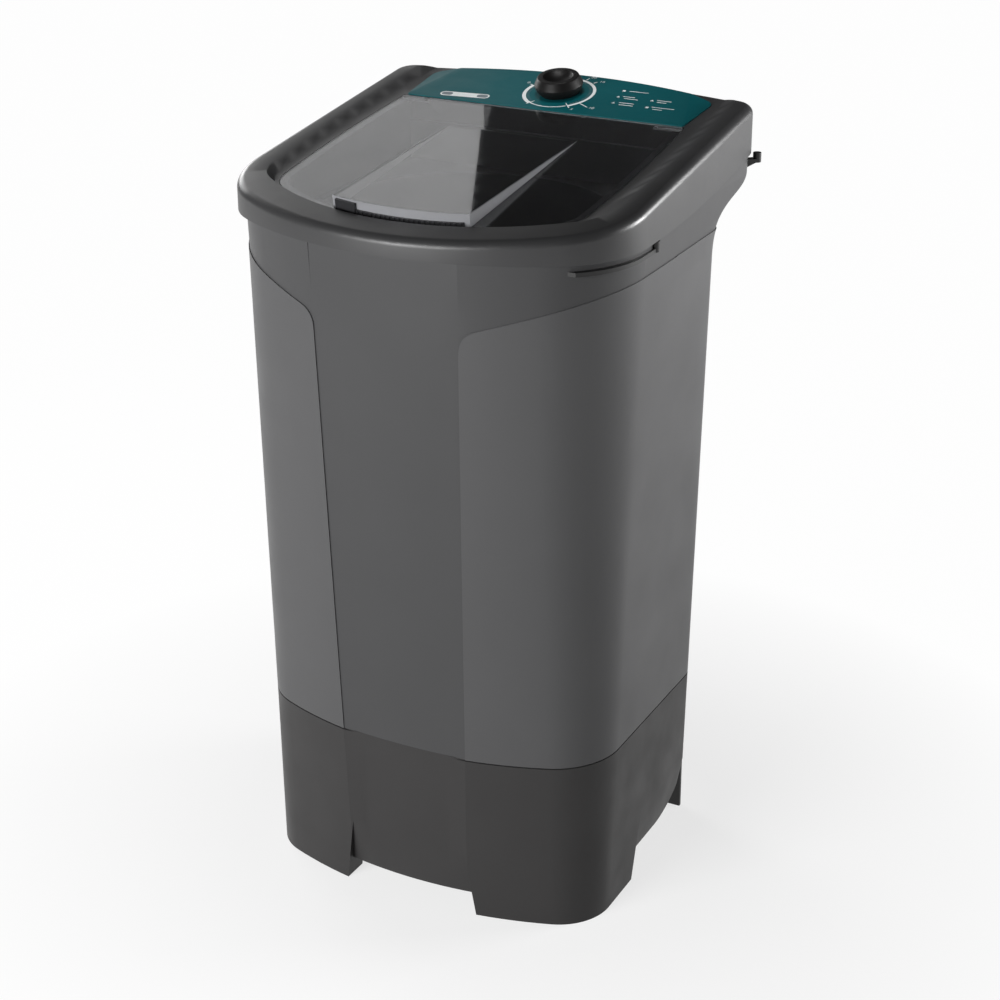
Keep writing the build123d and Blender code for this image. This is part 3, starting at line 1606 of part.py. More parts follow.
# Drive belt round both pulleys
motor_place = (0, tub_y + motor_distance)
with BuildPart() as drive_belt:
    for grow, mode in ((belt_depth / 2, Mode.ADD), (-belt_depth / 2, Mode.SUBTRACT)):
        with BuildSketch(Plane.XY.offset(belt_middle_height - belt_width / 2)):
            with Locations((0, tub_y)):
                Circle(pulley_pitch_radius + grow)
            with Locations(motor_place):
                Circle(motor_pulley_pitch_radius + grow)
            make_hull()
        extrude(amount=belt_width, mode=mode)
finish(drive_belt, "drive_belt")

with BuildPart() as motor_pulley:
    add(pulley_rim(motor_pulley_pitch_radius, motor_place))
    shaft_hole = post(pulley_low - overrun, pulley_high + overrun, motor_shaft_radius, place=motor_place)
    add(shaft_hole, mode=Mode.SUBTRACT)
finish(motor_pulley, "motor_pulley")

# Motor: a finned can with end bosses, hung under its bracket
motor_top = bracket_top - bracket_plate
motor_low = motor_top - motor_height
with BuildPart() as motor_shaft:
    add(post(motor_low + motor_boss, pulley_high + shaft_tail / 2, motor_shaft_radius, place=motor_place))
    chamfer(motor_shaft.faces().sort_by(Axis.Z)[-1].edges(), length=shaft_chamfer)
finish(motor_shaft, "motor_shaft")

with BuildPart() as motor_case:
    add(post(motor_low, motor_top, motor_radius, place=motor_place))
    fillet(motor_case.faces().sort_by(Axis.Z)[0].edges(), radius=motor_round)
    add(post(motor_low - motor_boss, motor_low + overrun, motor_boss_radius, place=motor_place))
    with BuildSketch(Plane.XY.offset(motor_low + 2 * motor_round)):
        with Locations(motor_place):
            with PolarLocations(motor_radius, motor_fins):
                Rectangle(2 * motor_fin_depth, motor_fin_width)
    extrude(amount=motor_height - 4 * motor_round, mode=Mode.SUBTRACT)
    bore_low = motor_low + motor_boss - contact_gap
    bore = post(bore_low, motor_top + overrun, motor_shaft_radius + shaft_fit, place=motor_place)
    add(bore, mode=Mode.SUBTRACT)
    with BuildSketch(Plane.XY.offset(motor_top)):
        with Locations(motor_place):
            with PolarLocations(motor_bolt_circle, housing_bolts, start_angle=housing_bolt_start):
                Circle(bolt_radius)
    extrude(amount=bracket_plate - bolt_length, mode=Mode.SUBTRACT)
finish(motor_case, "motor_case")

with BuildPart() as motor_bolts:
    with BuildSketch(Plane.XY.offset(bracket_top)):
        with Locations(motor_place):
            with PolarLocations(motor_bolt_circle, housing_bolts, start_angle=housing_bolt_start):
                Circle(bolt_radius)
    extrude(amount=-bolt_length)
    with BuildSketch(Plane.XY.offset(bracket_top)):
        with Locations(motor_place):
            with PolarLocations(motor_bolt_circle, housing_bolts, start_angle=housing_bolt_start):
                RegularPolygon(bolt_head_radius, 6)
    extrude(amount=bolt_head)
finish(motor_bolts, "motor_bolts")

# Motor bracket: a plate with turned-down edges on the tub's four posts
with BuildPart() as motor_bracket:
    bracket_middle = (bracket_front_y + bracket_back_y) / 2
    bracket_length = bracket_back_y - bracket_front_y
    with BuildSketch(Plane.XY.offset(motor_top)):
        with Locations((0, bracket_middle)):
            RectangleRounded(2 * bracket_half_width, bracket_length, bracket_corner_radius)
    extrude(amount=bracket_plate)
    for side in (-1, 1):
        with BuildSketch(Plane.XY.offset(motor_top)):
            with Locations((side * (bracket_half_width - bracket_plate / 2), bracket_middle)):
                Rectangle(bracket_plate, bracket_length - 2 * bracket_corner_radius)
        extrude(amount=-bracket_flange)
    shaft_window = post(motor_top - overrun, bracket_top + overrun, motor_boss_radius, place=motor_place)
    add(shaft_window, mode=Mode.SUBTRACT)
    with BuildSketch(Plane.XY.offset(motor_top)):
        with Locations(motor_place):
            with PolarLocations(motor_bolt_circle, housing_bolts, start_angle=housing_bolt_start):
                Circle(bolt_radius)
        for x, y in post_places:
            with Locations((x, y), (-x, y)):
                Circle(bolt_radius)
    extrude(amount=bracket_plate, mode=Mode.SUBTRACT)
finish(motor_bracket, "motor_bracket")

with BuildPart() as bracket_screws:
    for side in (-1, 1):
        for x, y in post_places:
            with BuildSketch(Plane.XY.offset(motor_top)):
                with Locations((side * x, y)):
                    Circle(bolt_radius)
            extrude(amount=bolt_length)
            with BuildSketch(Plane.XY.offset(motor_top)):
                with Locations((side * x, y)):
                    RegularPolygon(bolt_head_radius, 6)
            extrude(amount=-bolt_head)
finish(bracket_screws, "bracket_screws")

# Run capacitor in a clamp on the bracket's turned-down edge
capacitor_place = (-bracket_half_width - clamp_band - capacitor_radius, capacitor_y)
clamp_low = motor_top - clamp_height
with BuildPart() as capacitor:
    capacitor_top = motor_top + capacitor_rise
    add(post(capacitor_top - capacitor_length, capacitor_top, capacitor_radius, place=capacitor_place))
    fillet(capacitor.faces().sort_by(Axis.Z)[0].edges(), radius=capacitor_edge)
finish(capacitor, "capacitor")

with BuildPart() as capacitor_clamp:
    with BuildSketch(Plane.XY.offset(clamp_low)):
        with Locations(capacitor_place):
            Circle(capacitor_radius + clamp_band)
        with Locations((-bracket_half_width - clamp_tab / 2, capacitor_y)):
            Rectangle(clamp_tab, clamp_tab)
        with Locations(capacitor_place):
            Circle(capacitor_radius, mode=Mode.SUBTRACT)
    extrude(amount=clamp_height)
finish(capacitor_clamp, "capacitor_clamp")

# Cable gland in the rear cover
with BuildPart() as cable_gland:
    cover_back_y = cover_plate_y + cover_plate
    for y, depth, radius, sides in (
        (cover_back_y, gland_hex, gland_hex_radius, 6),
        (cover_plate_y - gland_nut, gland_nut, gland_hex_radius, 6),
    ):
        with BuildSketch(Plane.XZ.offset(-y)):
            with Locations((gland_x, gland_z)):
                RegularPolygon(radius, sides)
        extrude(amount=-depth)
    with BuildSketch(Plane.XZ.offset(gland_nut + gland_nut / 2 - cover_plate_y)):
        with Locations((gland_x, gland_z)):
            Circle(gland_radius)
    extrude(amount=-gland_nut / 2 - gland_nut - cover_plate - gland_hex - gland_dome)
    fillet(cable_gland.faces().sort_by(Axis.Y)[-1].edges(), radius=gland_radius / 2)
    with BuildSketch(Plane.XZ.offset(-cover_back_y - gland_hex - gland_dome)):
        with Locations((gland_x, gland_z)):
            Circle(gland_bore_radius)
    extrude(amount=gland_hex + gland_dome + cover_plate + 2 * gland_nut, mode=Mode.SUBTRACT)
finish(cable_gland, "cable_gland")

with BuildPart() as rear_cover_screws:
    for height in cover_screw_heights:
        with BuildSketch(Plane.XZ.offset(-cover_plate_y - cover_plate)):
            with Locations((-cover_screw_x, height), (cover_screw_x, height)):
                Circle(bolt_radius)
        extrude(amount=cover_plate_y + cover_plate - back_wall_y + wall)
        with BuildSketch(Plane.XZ.offset(-cover_plate_y - cover_plate)):
            with Locations((-cover_screw_x, height), (cover_screw_x, height)):
                Circle(bolt_head_radius)
        extrude(amount=-bolt_head)
finish(rear_cover_screws, "rear_cover_screws")
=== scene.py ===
"""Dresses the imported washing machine: materials, printed marks, camera and studio, in metres."""

import math

import bmesh
import bpy
from mathutils import Matrix, Quaternion, Vector


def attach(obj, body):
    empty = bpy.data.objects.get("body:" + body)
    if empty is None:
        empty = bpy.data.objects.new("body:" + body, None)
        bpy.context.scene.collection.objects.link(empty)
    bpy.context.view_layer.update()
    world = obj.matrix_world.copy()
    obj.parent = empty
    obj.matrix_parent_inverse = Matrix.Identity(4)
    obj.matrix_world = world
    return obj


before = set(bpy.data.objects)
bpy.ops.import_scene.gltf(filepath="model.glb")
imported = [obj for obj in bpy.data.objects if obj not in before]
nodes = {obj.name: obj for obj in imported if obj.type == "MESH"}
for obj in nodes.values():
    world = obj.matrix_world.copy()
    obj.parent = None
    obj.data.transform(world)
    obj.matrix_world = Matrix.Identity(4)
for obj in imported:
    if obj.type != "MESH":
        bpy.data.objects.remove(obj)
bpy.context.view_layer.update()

scene = bpy.context.scene

WHITE = (1.0, 1.0, 1.0, 1.0)

# Control panel and its knob, with the CAD's sizes
PANEL_TILT = math.radians(11.3)
PANEL_FRONT_Y = 0.135
PANEL_FRONT_HEIGHT = 0.872
KNOB_Y = 0.183
KNOB_HEIGHT = PANEL_FRONT_HEIGHT + (KNOB_Y - PANEL_FRONT_Y) * math.tan(PANEL_TILT)
KNOB_SEAT = Vector((0, KNOB_Y, KNOB_HEIGHT))
KNOB_AXIS = Vector((0, -math.sin(PANEL_TILT), math.cos(PANEL_TILT)))
PANEL_BACK = Vector((0, math.cos(PANEL_TILT), math.sin(PANEL_TILT)))

# Edges of the cabinet's raised side panels, with the CAD's sizes
BORDER_FLOOR_X = 0.0765
BORDER_SLOPE = 0.0157
BORDER_TOP_HEIGHT = 0.7215
BORDER_TOP_SLOPE = 0.302
# For the colour alone: the top edge's cosine, the corner's softness, where the lighter shade
# ends on the back half, and half the width of the change of shade
BORDER_TOP_COSINE = 0.957
BORDER_CORNER_BLEND = 0.030
BORDER_BACK_HEIGHT = 0.7656
BORDER_BLUR = 0.0003


def srgb(*levels):
    """Linear colour from sRGB levels between 0 and 255."""
    values = []
    for level in levels:
        share = level / 255
        values.append(share / 12.92 if share <= 0.04045 else ((share + 0.055) / 1.055) ** 2.4)
    return (*values, 1.0)


def add_object(name, data):
    """A new object in the scene's collection."""
    item = bpy.data.objects.new(name, data)
    scene.collection.objects.link(item)
    return item


# Node building

# Most values of a noise texture lie between these two
NOISE_LOW, NOISE_HIGH = 0.3, 0.7


class Graph:
    """Short calls for building a node tree."""

    def __init__(self, tree):
        self.tree = tree

    def add(self, kind, **settings):
        """A new node with its own settings, such as its operation."""
        node = self.tree.nodes.new(kind)
        for name, value in settings.items():
            setattr(node, name, value)
        return node

    def link(self, source, target):
        """Links an output to an input."""
        self.tree.links.new(source, target)

    def feed(self, node, values):
        """Links or sets a node's inputs, each given by its name or number."""
        for key, value in values.items():
            if isinstance(value, bpy.types.NodeSocket):
                self.link(value, node.inputs[key])
            else:
                node.inputs[key].default_value = value

    def math(self, operation, *values):
        """Result of a math node; each value is a number or an output."""
        node = self.add("ShaderNodeMath", operation=operation)
        self.feed(node, dict(enumerate(values)))
        return node.outputs[0]

    def place(self, kind):
        """Texture coordinates of one kind."""
        return self.add("ShaderNodeTexCoord").outputs[kind]

    def axes(self, kind):
        """The three axes of one kind of texture coordinates."""
        node = self.add("ShaderNodeSeparateXYZ")
        self.link(self.place(kind), node.inputs[0])
        return node.outputs

    def noise(self, scale, detail, stretch=None):
        """Noise over the object's own coordinates, in metres."""
        source = self.place("Object")
        if stretch is not None:
            mapping = self.add("ShaderNodeMapping")
            self.feed(mapping, {"Vector": source, "Scale": stretch})
            source = mapping.outputs["Vector"]
        node = self.add("ShaderNodeTexNoise")
        self.feed(node, {"Vector": source, "Scale": scale, "Detail": detail})
        return node.outputs["Fac"]

    def remap(self, value, low, high, to_low, to_high):
        """Straight change of range, clamped at both ends."""
        node = self.add("ShaderNodeMapRange")
        self.feed(node, {"Value": value, "From Min": low, "From Max": high})
        self.feed(node, {"To Min": to_low, "To Max": to_high})
        return node.outputs["Result"]

    def vary(self, noise, low, high):
        """A noise spread over a range."""
        return self.remap(noise, NOISE_LOW, NOISE_HIGH, low, high)

    def mix(self, share, first, second):
        """Mix of two colours."""
        node = self.add("ShaderNodeMix", data_type="RGBA")
        self.feed(node, {0: share, 6: first, 7: second})
        return node.outputs[2]

    def bumps(self, *layers):
        """A chain of bump nodes from (height, distance, strength) layers."""
        normal = None
        for height, distance, strength in layers:
            node = self.add("ShaderNodeBump")
            self.feed(node, {"Height": height, "Distance": distance, "Strength": strength})
            if normal is not None:
                self.link(normal, node.inputs["Normal"])
            normal = node.outputs["Normal"]
        return normal


def cleared_graph(owner):
    """Empty node tree of a material or world."""
    owner.use_nodes = True
    owner.node_tree.nodes.clear()
    return Graph(owner.node_tree)


def new_material(name):
    """Material with a bare Principled shader, its graph and the shader."""
    material = bpy.data.materials.new(name)
    graph = cleared_graph(material)
    shader = graph.add("ShaderNodeBsdfPrincipled")
    out = graph.add("ShaderNodeOutputMaterial")
    graph.link(shader.outputs["BSDF"], out.inputs["Surface"])
    return material, graph, shader


# Materials

# Share of the slow noise in a colour's unevenness, and how much finer the other one is
SLOW_SHARE = 0.7
FINE_RATIO = 40


def shades(graph, colour, spread, scale):
    """The colour with a slow lighter and darker variation, and a finer one on top."""
    light = tuple(min(1.0, c * (1 + spread)) for c in colour[:3]) + (1.0,)
    dark = tuple(c * (1 - spread) for c in colour[:3]) + (1.0,)
    slow = graph.math("MULTIPLY", graph.noise(scale, 2.0), SLOW_SHARE)
    fine = graph.math("MULTIPLY", graph.noise(scale * FINE_RATIO, 2.0), 1 - SLOW_SHARE)
    return graph.mix(graph.vary(graph.math("ADD", slow, fine), 0.0, 1.0), dark, light)


def plastic(graph, shader, colour, wear_scale, roughness, specular, waves, grain):
    """Uneven polish, faint waves of the wall and fine grain.

    Roughness is its range; waves and grain are each (noise scale, distance, strength).
    """
    wear = graph.noise(wear_scale, 3.0)
    wave_layer = (graph.noise(waves[0], 1.0), *waves[1:])
    grain_layer = (graph.noise(grain[0], 2.0), *grain[1:])
    graph.feed(
        shader,
        {
            "Base Color": colour,
            "Roughness": graph.vary(wear, *roughness),
            "Specular IOR Level": specular,
            "Normal": graph.bumps(wave_layer, grain_layer),
        },
    )


def moulded(name, colour, roughness, grain=0.5, grain_scale=1400.0, specular=0.5):
    """Moulded plastic: fine spark grain, slow unevenness of the wall, and handling polish."""
    material, graph, shader = new_material(name)
    plastic(
        graph,
        shader,
        colour=shades(graph, colour, spread=0.04, scale=9.0),
        wear_scale=22.0,
        roughness=(roughness - 0.04, roughness + 0.05),
        specular=specular,
        waves=(3.2, 0.004, 0.06),
        grain=(grain_scale, 0.00006, grain),
    )
    return material


# Noise scales of brushed marks and of cast grain
BRUSHED_SCALE, CAST_SCALE = 300.0, 700.0


def metal(name, colour, roughness, brushed=None, spread=0.06):
    """Bare or plated metal with fine tool marks along one axis, or cast grain."""
    material, graph, shader = new_material(name)
    marks = graph.noise(BRUSHED_SCALE if brushed else CAST_SCALE, 3.0, stretch=brushed)
    graph.feed(
        shader,
        {
            "Base Color": shades(graph, colour, spread, scale=30.0),
            "Metallic": 1.0,
            "Roughness": graph.vary(marks, roughness - 0.08, roughness + 0.10),
            "Normal": graph.bumps((marks, 0.00005, 0.35)),
        },
    )
    return material


def rubber(name, colour):
    """Dull black rubber with a little dust."""
    material, graph, shader = new_material(name)
    dust = graph.noise(60.0, 3.0)
    graph.feed(
        shader,
        {
            "Base Color": shades(graph, colour, spread=0.15, scale=40.0),
            "Roughness": graph.vary(dust, 0.62, 0.85),
            "Normal": graph.bumps((graph.noise(900.0, 2.0), 0.0001, 0.5)),
        },
    )
    return material


def side_panel_share(graph):
    """1 on the cabinet's raised side panels and 0 on the surface round them."""
    x, y, z = graph.axes("Object")
    away = graph.math("ABSOLUTE", x)
    edge = graph.math("MULTIPLY_ADD", z, BORDER_SLOPE, BORDER_FLOOR_X)
    beside = graph.math("SUBTRACT", away, edge)
    corner_x = BORDER_FLOOR_X + BORDER_SLOPE * BORDER_TOP_HEIGHT
    middle_height = BORDER_TOP_HEIGHT - BORDER_TOP_SLOPE * corner_x
    top_line = graph.math("MULTIPLY_ADD", away, BORDER_TOP_SLOPE, middle_height)
    below = graph.math("MULTIPLY", graph.math("SUBTRACT", top_line, z), BORDER_TOP_COSINE)
    inside = graph.math("SMOOTH_MIN", beside, below, BORDER_CORNER_BLEND)
    under = graph.math("SUBTRACT", BORDER_BACK_HEIGHT, z)
    front = graph.remap(inside, -BORDER_BLUR, BORDER_BLUR, 0.0, 1.0)
    back = graph.remap(under, -BORDER_BLUR, BORDER_BLUR, 0.0, 1.0)
    return graph.mix(graph.math("GREATER_THAN", y, 0.0), front, back)


def cabinet_material():
    """The cabinet's plastic: its raised side panels are a shade lighter than the rest."""
    material, graph, shader = new_material("cabinet_plastic")
    base = shades(graph, srgb(75, 75, 76), spread=0.03, scale=9.0)
    panel = shades(graph, srgb(89, 89, 90), spread=0.03, scale=9.0)
    plastic(
        graph,
        shader,
        colour=graph.mix(side_panel_share(graph), base, panel),
        wear_scale=14.0,
        roughness=(0.40, 0.47),
        specular=0.28,
        waves=(2.6, 0.004, 0.05),
        grain=(1500.0, 0.00006, 0.5),
    )
    return material


# Upright share of a face's normal: below the first it counts as steep, above the second as flat
STEEP_NORMAL, FLAT_NORMAL = 0.45, 0.65
# What frost adds to the roughness, and the share of light it lets through
FROST_ROUGHNESS, FROST_TRANSMISSION = 0.40, 0.30
LID_IOR = 1.49


def lid_material():
    """Clear lid: faint smoke tint and sharp reflections on the flats; steep faces frosted, their
    light grey a painted reflection.
    """
    material, graph, shader = new_material("lid_clear")
    upright = graph.math("ABSOLUTE", graph.axes("Normal")[2])
    steep = graph.remap(upright, STEEP_NORMAL, FLAT_NORMAL, 1.0, 0.0)
    tint = graph.vary(graph.noise(20.0, 2.0), 0.0, 1.0)
    clear = graph.mix(tint, srgb(232, 233, 236), srgb(240, 241, 243))
    # Steep faces are frosted, and their light grey, chosen by face direction, is a painted
    # reflection
    frost_and_painted_reflection = shades(graph, srgb(168, 169, 173), spread=0.04, scale=60.0)
    haze = graph.remap(graph.noise(35.0, 3.0), 0.35, 0.65, 0.01, 0.035)
    graph.feed(
        shader,
        {
            "Base Color": graph.mix(steep, clear, frost_and_painted_reflection),
            "Transmission Weight": graph.remap(steep, 0.0, 1.0, 1.0, FROST_TRANSMISSION),
            "IOR": LID_IOR,
            "Roughness": graph.math("MULTIPLY_ADD", steep, FROST_ROUGHNESS, haze),
            "Normal": graph.bumps((graph.noise(6.0, 1.0), 0.002, 0.02)),
        },
    )
    return material


def panel_material():
    """Printed teal film on the control panel, satin."""
    material, graph, shader = new_material("panel_film")
    plastic(
        graph,
        shader,
        colour=shades(graph, srgb(10, 88, 94), spread=0.035, scale=14.0),
        wear_scale=45.0,
        roughness=(0.34, 0.42),
        specular=0.15,
        waves=(5.0, 0.001, 0.05),
        grain=(900.0, 0.00003, 0.4),
    )
    return material


def ink_material(name, colour):
    """Screen-printed ink, slightly uneven."""
    material, graph, shader = new_material(name)
    graph.feed(
        shader,
        {
            "Base Color": shades(graph, colour, spread=0.03, scale=200.0),
            "Roughness": graph.vary(graph.noise(800.0, 2.0), 0.35, 0.5),
        },
    )
    return material


# For each node its plastic, metal or rubber: name, colour, mean roughness and what differs
materials = {
    "cabinet": cabinet_material(),
    "base_skirt": moulded("skirt_plastic", srgb(62, 61, 61), 0.46, specular=0.22),
    "top_rim": moulded("rim_plastic", srgb(57, 57, 58), 0.38),
    "wash_tub": moulded("tub_plastic", srgb(52, 52, 55), 0.34, grain=0.2),
    "rear_cover": moulded("cover_plastic", srgb(24, 24, 24), 0.5),
    "lid": lid_material(),
    "lid_grip": moulded("grip_plastic", srgb(44, 44, 46), 0.30, grain=0.2),
    "control_panel": panel_material(),
    "timer_knob": moulded("knob_plastic", srgb(19, 18, 18), 0.42, grain=0.12, specular=0.22),
    "side_hook_front": moulded("hook_plastic", srgb(12, 12, 12), 0.42, grain=0.3),
    "lint_filter": moulded("filter_plastic", srgb(150, 156, 160), 0.4),
    "agitator": moulded("agitator_plastic", srgb(66, 67, 70), 0.36, grain=0.2),
    "drain_grille": moulded("grille_plastic", srgb(52, 52, 54), 0.4),
    "drain_pipe": moulded("pipe_plastic", srgb(26, 26, 26), 0.5),
    "cable_gland": moulded("gland_plastic", srgb(18, 18, 18), 0.45),
    "timer_case": moulded("timer_plastic", srgb(196, 194, 188), 0.45),
    "motor_pulley": metal("pulley_alloy", srgb(176, 176, 178), 0.38),
    "driven_pulley": moulded("pulley_plastic", srgb(26, 26, 26), 0.45),
    "bearing_housing": metal("housing_alloy", srgb(168, 168, 170), 0.48),
    "lower_bearing": metal("bearing_steel", srgb(186, 187, 190), 0.25),
    "shaft_seal": rubber("seal_rubber", srgb(22, 22, 22)),
    "drive_belt": rubber("belt_rubber", srgb(28, 28, 28)),
    "motor_case": moulded("motor_paint", srgb(40, 40, 42), 0.4, grain=0.35, grain_scale=500.0),
    "motor_bracket": metal("bracket_zinc", srgb(160, 162, 165), 0.42, spread=0.14),
    "capacitor": metal("can_alloy", srgb(200, 200, 202), 0.35, brushed=(1.0, 1.0, 0.05)),
    "capacitor_clamp": metal("clamp_zinc", srgb(170, 171, 174), 0.36),
    "screws": metal("screw_zinc", srgb(178, 179, 182), 0.34),
    "shafts": metal("shaft_steel", srgb(188, 189, 192), 0.24, brushed=(0.04, 1.0, 1.0)),
}
# Nodes that take another row's material
shared = {
    "side_hook_rear": "side_hook_front",
    "upper_bearing": "lower_bearing",
    "agitator_screw": "screws",
    "bracket_screws": "screws",
    "housing_screws": "screws",
    "motor_bolts": "screws",
    "rim_screws": "screws",
    "timer_screws": "screws",
    "rear_cover_screws": "screws",
    "pulley_nut": "screws",
    "drive_shaft": "shafts",
    "motor_shaft": "shafts",
    "timer_shaft": "shafts",
    "hinge_pin_left": "shafts",
    "hinge_pin_right": "shafts",
}
for name, node in nodes.items():
    node.data.materials.clear()
    node.data.materials.append(materials[shared.get(name, name)])


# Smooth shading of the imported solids

WELD_DISTANCE = 0.00001
SMOOTH_LIMIT = math.radians(28)


def smooth_group():
    """Geometry nodes that weld the facets and shade them smooth up to an angle."""
    tree = bpy.data.node_groups.new("smooth_by_edge", "GeometryNodeTree")
    tree.interface.new_socket("Geometry", in_out="INPUT", socket_type="NodeSocketGeometry")
    tree.interface.new_socket("Geometry", in_out="OUTPUT", socket_type="NodeSocketGeometry")
    graph = Graph(tree)
    source = graph.add("NodeGroupInput").outputs[0]
    target = graph.add("NodeGroupOutput")
    weld = graph.add("GeometryNodeMergeByDistance")
    faces = graph.add("GeometryNodeSetShadeSmooth", domain="FACE")
    edges = graph.add("GeometryNodeSetShadeSmooth", domain="EDGE")
    angle = graph.add("GeometryNodeInputMeshEdgeAngle").outputs["Unsigned Angle"]
    below = graph.add("FunctionNodeCompare", data_type="FLOAT", operation="LESS_THAN")
    graph.feed(below, {0: angle, 1: SMOOTH_LIMIT})
    graph.feed(weld, {"Geometry": source, "Distance": WELD_DISTANCE})
    graph.feed(faces, {"Geometry": weld.outputs["Geometry"], "Shade Smooth": True})
    graph.feed(
        edges,
        {"Geometry": faces.outputs["Geometry"], "Shade Smooth": below.outputs["Result"]},
    )
    graph.link(edges.outputs["Geometry"], target.inputs[0])
    return tree


smooth_tree = smooth_group()
for node in nodes.values():
    modifier = node.modifiers.new("smooth", "NODES")
    modifier.node_group = smooth_tree


# Printed marks on the control panel: sizes in millimetres, angles in degrees

# How far print stands proud of the film, in metres
PRINT_RISE = 0.00008


def on_panel(x, y, rise=PRINT_RISE):
    """Place on the panel's top plane: millimetres from the knob's middle, across and back."""
    return KNOB_SEAT + Vector((x / 1000, 0, 0)) + PANEL_BACK * (y / 1000) + KNOB_AXIS * rise


def flat_piece(name, outlines, material, rise=PRINT_RISE):
    """Thin printed piece from closed outlines on the panel, each a list of (x, y)."""
    mesh = bpy.data.meshes.new(name)
    build = bmesh.new()
    for outline in outlines:
        build.faces.new([build.verts.new(on_panel(x, y, rise)) for x, y in outline])
    for face in build.faces:
        face.normal_update()
        if face.normal.dot(KNOB_AXIS) < 0:
            face.normal_flip()
    build.to_mesh(mesh)
    build.free()
    piece = add_object(name, mesh)
    mesh.materials.append(material)
    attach(piece, "machine")


def polar(radius, degrees, centre=(0.0, 0.0)):
    """Place at a radius and an angle round a centre."""
    turn = math.radians(degrees)
    return (centre[0] + radius * math.cos(turn), centre[1] + radius * math.sin(turn))


def arc_band(inner, outer, start, end, steps):
    """Quads of a ring sector between two angles."""
    quads = []
    for step in range(steps):
        low = start + (end - start) * step / steps
        high = start + (end - start) * (step + 1) / steps
        corners = ((inner, low), (outer, low), (outer, high), (inner, high))
        quads.append([polar(radius, degrees) for radius, degrees in corners])
    return quads


def spoke(inner, outer, degrees, width):
    """Quad along a radius."""
    turn = math.radians(degrees)
    across = (-math.sin(turn) * width / 2, math.cos(turn) * width / 2)
    a, b = polar(inner, degrees), polar(outer, degrees)
    return [
        (a[0] - across[0], a[1] - across[1]),
        (b[0] - across[0], b[1] - across[1]),
        (b[0] + across[0], b[1] + across[1]),
        (a[0] + across[0], a[1] + across[1]),
    ]


def stadium(centre, width, height, degrees=0.0, steps=12):
    """Outline of a rounded bar, turned by an angle."""
    points = []
    radius = height / 2
    half = width / 2 - radius
    for end, first in ((half, -90), (-half, 90)):
        for step in range(steps + 1):
            turn = math.radians(first + 180 * step / steps)
            points.append((end + radius * math.cos(turn), radius * math.sin(turn)))
    turn = math.radians(degrees)
    return [
        (
            centre[0] + x * math.cos(turn) - y * math.sin(turn),
            centre[1] + x * math.sin(turn) + y * math.cos(turn),
        )
        for x, y in points
    ]


white_ink = ink_material("ink_white", srgb(240, 244, 244))
grey_ink = ink_material("ink_grey", srgb(118, 128, 134))

# Ring of the dial: inner and outer radius, first and last angle, steps
DIAL_BANDS = (
    (39.2, 43.6, 163, 238, 40),
    (39.6, 41.4, 238, 306, 36),
    (39.2, 43.0, 310, 437, 60),
)
# Long marks across the ring: inner and outer radius, angle
DIAL_MARKS = (
    (34.0, 47.5, 309),
    (43.6, 58.0, 329),
    (44.5, 50.0, 70),
    (44.5, 50.0, 52),
    (34.0, 45.5, 238),
    (43.0, 47.0, 163),
)
MARK_WIDTH = 1.3
scale_marks = [quad for band in DIAL_BANDS for quad in arc_band(*band)]
scale_marks += [spoke(*mark, MARK_WIDTH) for mark in DIAL_MARKS]
flat_piece("dial_ring", scale_marks, white_ink)

# Fine ticks inside the ring: first angle and how many
DIAL_TICKS = ((166, 12), (316, 20))
TICK_INNER, TICK_OUTER, TICK_WIDTH, TICK_PITCH = 35.2, 37.8, 0.8, 6
fine_marks = [
    spoke(TICK_INNER, TICK_OUTER, first + TICK_PITCH * count, TICK_WIDTH)
    for first, ticks in DIAL_TICKS
    for count in range(ticks)
]
flat_piece("dial_ticks", fine_marks, grey_ink)


def lettered(name, words, x, y, size, material):
    """A plain number printed flat on the panel, centred on a place."""
    curve = bpy.data.curves.new(name, "FONT")
    curve.body = words
    curve.size = size / 1000
    curve.align_x = "CENTER"
    curve.align_y = "CENTER"
    curve.resolution_u = 3
    piece = add_object(name, curve)
    turn = Matrix((Vector((1, 0, 0)), PANEL_BACK, KNOB_AXIS)).transposed().to_4x4()
    piece.matrix_world = Matrix.Translation(on_panel(x, y)) @ turn
    curve.materials.append(material)
    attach(piece, "machine")


# Numbers round the dial: what is printed, angle, radius
DIAL_NUMBERS = (
    ("20", 67, 54.5),
    ("15", 49, 55.0),
    ("10", 331, 63.5),
    ("5", 311, 52.5),
    ("0", 160, 52.0),
)
NUMBER_SIZE = 7.0
for count, (words, degrees, radius) in enumerate(DIAL_NUMBERS):
    x, y = polar(radius, degrees)
    lettered(f"dial_number_{count}", words, x, y, NUMBER_SIZE, white_ink)

# Legend beside the dial: a sign's place and shape, then a short bar for each setting, with its
# start and height beside the sign's middle and its length
LEGEND = (
    (72.0, 24.0, "square", ((6.5, 0.6, 24.0),)),
    (72.5, 6.5, "triangle", ((5.0, 2.4, 15.0), (8.0, -2.6, 18.0))),
    (74.0, -10.5, "triangle", ((6.0, 2.4, 19.0), (8.0, -3.0, 18.0))),
    (115.0, 6.5, "triangle", ((5.5, 2.0, 18.0), (7.0, -2.8, 12.0))),
    (117.0, -12.5, "square", ((5.0, 2.2, 28.0), (8.0, -3.2, 12.0))),
)
# Number of corners and the first one's angle
SIGN_SHAPES = {"square": (4, 45), "triangle": (3, 90)}
SIGN_RADIUS = 2.6
BAR_HEIGHT = 1.3
legend = []
for x, y, shape, bars in LEGEND:
    corners, first = SIGN_SHAPES[shape]
    angles = [first + 360 / corners * corner for corner in range(corners)]
    legend.append([polar(SIGN_RADIUS, degrees, (x, y)) for degrees in angles])
    for start, rise, length in bars:
        legend.append(stadium((x + start + length / 2, y + rise), length, BAR_HEIGHT, steps=4))
flat_piece("legend_marks", legend, white_ink)

